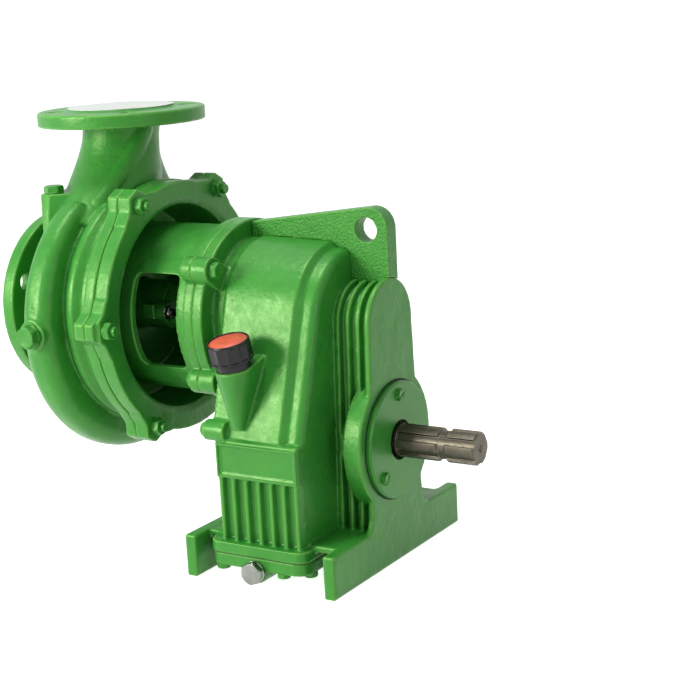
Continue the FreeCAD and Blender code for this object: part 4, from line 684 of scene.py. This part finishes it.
def spread_group():
    """A head at each place, turned to face along a direction and spun by chance about it."""
    tree = bpy.data.node_groups.new("spread_heads", "GeometryNodeTree")
    sockets = (("Places", "Geometry"), ("Head", "Object"), ("Along", "Vector"),
               ("Turn", "Float"), ("Seed", "Int"), ("Finish", "Material"))
    for title, kind in sockets:
        tree.interface.new_socket(name=title, in_out="INPUT", socket_type=f"NodeSocket{kind}")
    tree.interface.new_socket(name="Heads", in_out="OUTPUT", socket_type="NodeSocketGeometry")
    given = tree.nodes.new("NodeGroupInput").outputs
    out = tree.nodes.new("NodeGroupOutput")
    head = tree.nodes.new("GeometryNodeObjectInfo")
    aim = tree.nodes.new("FunctionNodeAlignRotationToVector")
    aim.axis = "Z"
    chance = tree.nodes.new("FunctionNodeRandomValue")
    chance.data_type = "FLOAT"
    spin = tree.nodes.new("FunctionNodeAxisAngleToRotation")
    spin.inputs["Axis"].default_value = (0, 0, 1)
    turn = tree.nodes.new("FunctionNodeRotateRotation")
    turn.rotation_space = "LOCAL"
    spread = tree.nodes.new("GeometryNodeInstanceOnPoints")
    real = tree.nodes.new("GeometryNodeRealizeInstances")
    paint = tree.nodes.new("GeometryNodeSetMaterial")
    links = (
        (given["Head"], head.inputs["Object"]),
        (given["Along"], aim.inputs["Vector"]),
        (given["Turn"], chance.inputs[3]),
        (given["Seed"], chance.inputs["Seed"]),
        (chance.outputs[1], spin.inputs["Angle"]),
        (aim.outputs["Rotation"], turn.inputs["Rotation"]),
        (spin.outputs["Rotation"], turn.inputs["Rotate By"]),
        (given["Places"], spread.inputs["Points"]),
        (head.outputs["Geometry"], spread.inputs["Instance"]),
        (turn.outputs["Rotation"], spread.inputs["Rotation"]),
        (spread.outputs["Instances"], real.inputs["Geometry"]),
        (real.outputs["Geometry"], paint.inputs["Geometry"]),
        (given["Finish"], paint.inputs["Material"]),
        (paint.outputs["Geometry"], out.inputs["Heads"]),
    )
    for start, end in links:
        tree.links.new(start, end)
    return tree


SPREAD = spread_group()


def solids_of(node):
    """Low and high corner of each separate solid of a CAD node."""
    shell = copy_of(node)
    shell.verts.ensure_lookup_table()
    shell.verts.index_update()
    seen = [False] * len(shell.verts)
    found = []
    for first in range(len(seen)):
        if seen[first]:
            continue
        seen[first] = True
        places, waiting = [], [shell.verts[first]]
        while waiting:
            here = waiting.pop()
            places.append(here.co.copy())
            for edge in here.link_edges:
                there = edge.other_vert(here)
                if not seen[there.index]:
                    seen[there.index] = True
                    waiting.append(there)
        low = Vector(min(place[k] for place in places) for k in range(3))
        high = Vector(max(place[k] for place in places) for k in range(3))
        found.append((low, high))
    shell.free()
    return found


def spread_heads(name, node, body, along, height, head, finish, turn):
    """One head at the outer end of each solid of a CAD node, facing a given way."""
    along = Vector(along)
    slots = bpy.data.meshes.new(f"{name}_places")
    bases = []
    for low, high in solids_of(node):
        reach = abs((high - low).dot(along)) / 2
        bases.append((low + high) / 2 + along * (reach - height))
    slots.from_pydata(bases, [], [])
    places = linked(f"{name}_places", slots)
    pattern = linked(f"{name}_head", head)
    step = places.modifiers.new("spread", "NODES")
    step.node_group = SPREAD
    values = {"Head": pattern, "Along": tuple(along), "Turn": turn, "Seed": HEAD_SEED,
              "Finish": FINISHES[finish]}
    for socket in SPREAD.interface.items_tree:
        if socket.name in values:
            step[socket.identifier] = values[socket.name]
    places.update_tag()
    done = settled(places)
    for item in (places, pattern):
        bpy.data.objects.remove(item)
    done.name = name
    finished(name, softened(done), body, node, finish)


def slotted(head, height):
    """Cuts a screwdriver slot into the top of a head."""
    shell = bmesh.new()
    size = Matrix.Diagonal((SLOT_WIDTH, SLOT_LENGTH, 2 * SLOT_DEPTH, 1))
    bmesh.ops.create_cube(shell, size=1.0, matrix=Matrix.Translation((0, 0, height)) @ size)
    cutter = linked("slot_cutter", mesh_of("slot_cutter", shell))
    body = linked("slot_body", head)
    cut = body.modifiers.new("slot", "BOOLEAN")
    cut.operation = "DIFFERENCE"
    cut.solver = "EXACT"
    cut.object = cutter
    done = settled(body)
    for item in (cutter, body):
        bpy.data.objects.remove(item)
    return done


def make_fasteners():
    for name, node, body, along, finish, turn, measures in FASTENERS:
        flats, height, shank_radius, shank, collar = (measure * MM for measure in measures)
        head = head_mesh(f"{name}_shape", flats, height, shank_radius, shank, collar)
        if name in SLOTTED:
            head = slotted(head, height)
        spread_heads(name, node, body, along, height, head, finish, turn)


# Raised frames round the panels above the fins

def make_panel_frame(name, side):
    """Rounded bar that runs round a panel, a little proud of it."""
    sections = (
        # inset from the panel's edge, rise over its face
        (0.3 * MM, FRAME_SUNK),
        (0.5 * MM, 0.6 * FRAME_PROUD),
        (1.0 * MM, FRAME_PROUD),
        (FRAME_BAR - 0.6 * MM, FRAME_PROUD),
        (FRAME_BAR, 0.5 * FRAME_PROUD),
        (FRAME_BAR, FRAME_SUNK),
    )
    shell = bmesh.new()
    loops = []
    for inset, rise in sections:
        x0, x1 = PANEL_X[0] + inset, PANEL_X[1] - inset
        z0, z1 = PANEL_Z[0] + inset, PANEL_Z[1] - inset
        y = side * (PANEL_FACE + rise)
        corners = ((x0, y, z0), (x1, y, z0), (x1, y, z1), (x0, y, z1))
        loops.append([shell.verts.new(corner) for corner in corners])
    for outer, inner in zip(loops, loops[1:] + loops[:1]):
        join_rings(shell, outer, inner)
    bmesh.ops.recalc_face_normals(shell, faces=shell.faces)
    mesh = softened(mesh_of(name, shell), 50)
    finished(name, mesh, "casing", None, "green_paint_smooth")


# Filler cap, port film and the painted shadow in the seam round the bearing cover

def on_cap_axis(mesh, height):
    mesh.transform(Matrix.Translation(CAP_FOOT + CAP_AXIS * height) @ aimed(CAP_AXIS))
    return mesh


def make_cap_body():
    """Cap with broad hand flutes between two plain rims, on its stem."""
    def fluted(angle, radius):
        return radius - FLUTE_DEPTH * abs(math.sin(CAP_FLUTES * angle / 2)) ** 0.7

    top, edge = CAP_HEIGHT, CAP_RADIUS
    rows = [
        # stem
        (-12 * MM, CAP_STEM - 0.6 * MM, False),
        (-11.4 * MM, CAP_STEM, False),
        (0, CAP_STEM, False),
        # lower rim
        (0, edge - 0.8 * MM, False),
        (0.5 * MM, edge, False),
        (2.4 * MM, edge, False),
        # flutes
        (3.2 * MM, edge - 0.4 * MM, True),
        (top - 3.4 * MM, edge - 0.4 * MM, True),
        # upper rim
        (top - 2.4 * MM, edge - 0.5 * MM, False),
        (top - 0.8 * MM, edge - 0.7 * MM, False),
        (top, edge - 1.5 * MM, False),
        (top, edge - 2.2 * MM, False),
        # seat of the disc
        (top - 0.5 * MM, edge - 2.5 * MM, False),
        (top - CAP_SEAT, edge - 2.5 * MM, False),
    ]
    cap = on_cap_axis(ringed("cap_body", rows, 16 * CAP_FLUTES, fluted), CAP_BASE)
    finished("cap_body", softened(cap, 40), "cap", "filler_cap", "black_plastic")


def make_cap_disc():
    """Coloured disc in the cap's top, with a raised middle."""
    low, high = solids_of("filler_cap_disc")[0]
    rim = (high.x - low.x) / 2
    rows = [
        (0, rim - 0.1 * MM, False),
        (1.5 * MM, rim - 0.1 * MM, False),
        (DISC_EDGE, rim - 0.6 * MM, False),
        (DISC_EDGE, 0.74 * rim, False),
        (2.2 * MM, 0.72 * rim, False),
        (DISC_MIDDLE, 0.69 * rim, False),
        (DISC_MIDDLE, 0.30 * rim, False),
    ]
    disc = on_cap_axis(ringed("cap_disc", rows, 96), CAP_BASE + CAP_HEIGHT - CAP_SEAT)
    finished("cap_disc", softened(disc, 50), "cap", "filler_cap_disc", "red_plastic")


def make_port_film():
    """Thin cover that lies a little unevenly on the upper port."""
    low, high = solids_of("port_cover")[0]
    middle = (low + high) / 2
    reach = (high.x - low.x) / 2

    def torn(angle, radius):
        broad = 0.006 * math.sin(3 * angle + 0.7) + 0.005 * math.sin(7 * angle)
        return radius * (0.988 + broad + 0.001 * math.sin(23 * angle))

    rows = [(0, reach, True), (FILM_THICK, reach, True)]
    for share in (0.97, 0.9, 0.8, 0.65, 0.5, 0.35, 0.2, 0.08):
        rows.append((FILM_THICK, reach * share, True))
    film = ringed("port_film", rows, FILM_POINTS, torn)
    for vertex in film.vertices:
        x, y, z = (value / reach for value in vertex.co)
        if z > 0:
            wave = math.sin(5 * x + 2 * y) * math.sin(4 * y - 3 * x)
            vertex.co.z += FILM_RIPPLE * (1 + wave)
    film.transform(Matrix.Translation((middle.x, middle.y, low.z)))
    finished("port_film", softened(film), "port_cover", "port_cover", "white_plastic")


def make_seam_shadow():
    """Painted shadow of the gap round the bearing cover, as a thin dark ring with paint run into
    it.
    """
    outer = SEAM_RADIUS + SEAM_WIDTH
    corners = ((0, outer), (SEAM_DEPTH, outer), (SEAM_DEPTH, SEAM_RADIUS), (0, SEAM_RADIUS))
    turns = [2 * math.pi * k / SEAM_POINTS for k in range(SEAM_POINTS)]
    shell = bmesh.new()
    rings = []
    for along, reach in corners:
        places = [(SEAM_PLACE + along, reach * math.cos(turn), INPUT_LINE + reach * math.sin(turn))
                  for turn in turns]
        rings.append([shell.verts.new(place) for place in places])
    for ring, following in zip(rings, rings[1:] + rings[:1]):
        join_rings(shell, following, ring)
    bmesh.ops.recalc_face_normals(shell, faces=shell.faces)
    mesh = softened(mesh_of("cover_seam", shell))
    finished("cover_seam", mesh, "casing", None, "seam_shadow")


place_camera()
light_room()
lay_floor()
dress_cad()
make_castings()
make_fasteners()
make_cap_body()
make_cap_disc()
make_port_film()
make_panel_frame("panel_frame_near", -1)
make_panel_frame("panel_frame_far", 1)
make_seam_shadow()

bpy.context.scene.view_settings.view_transform = "Standard"
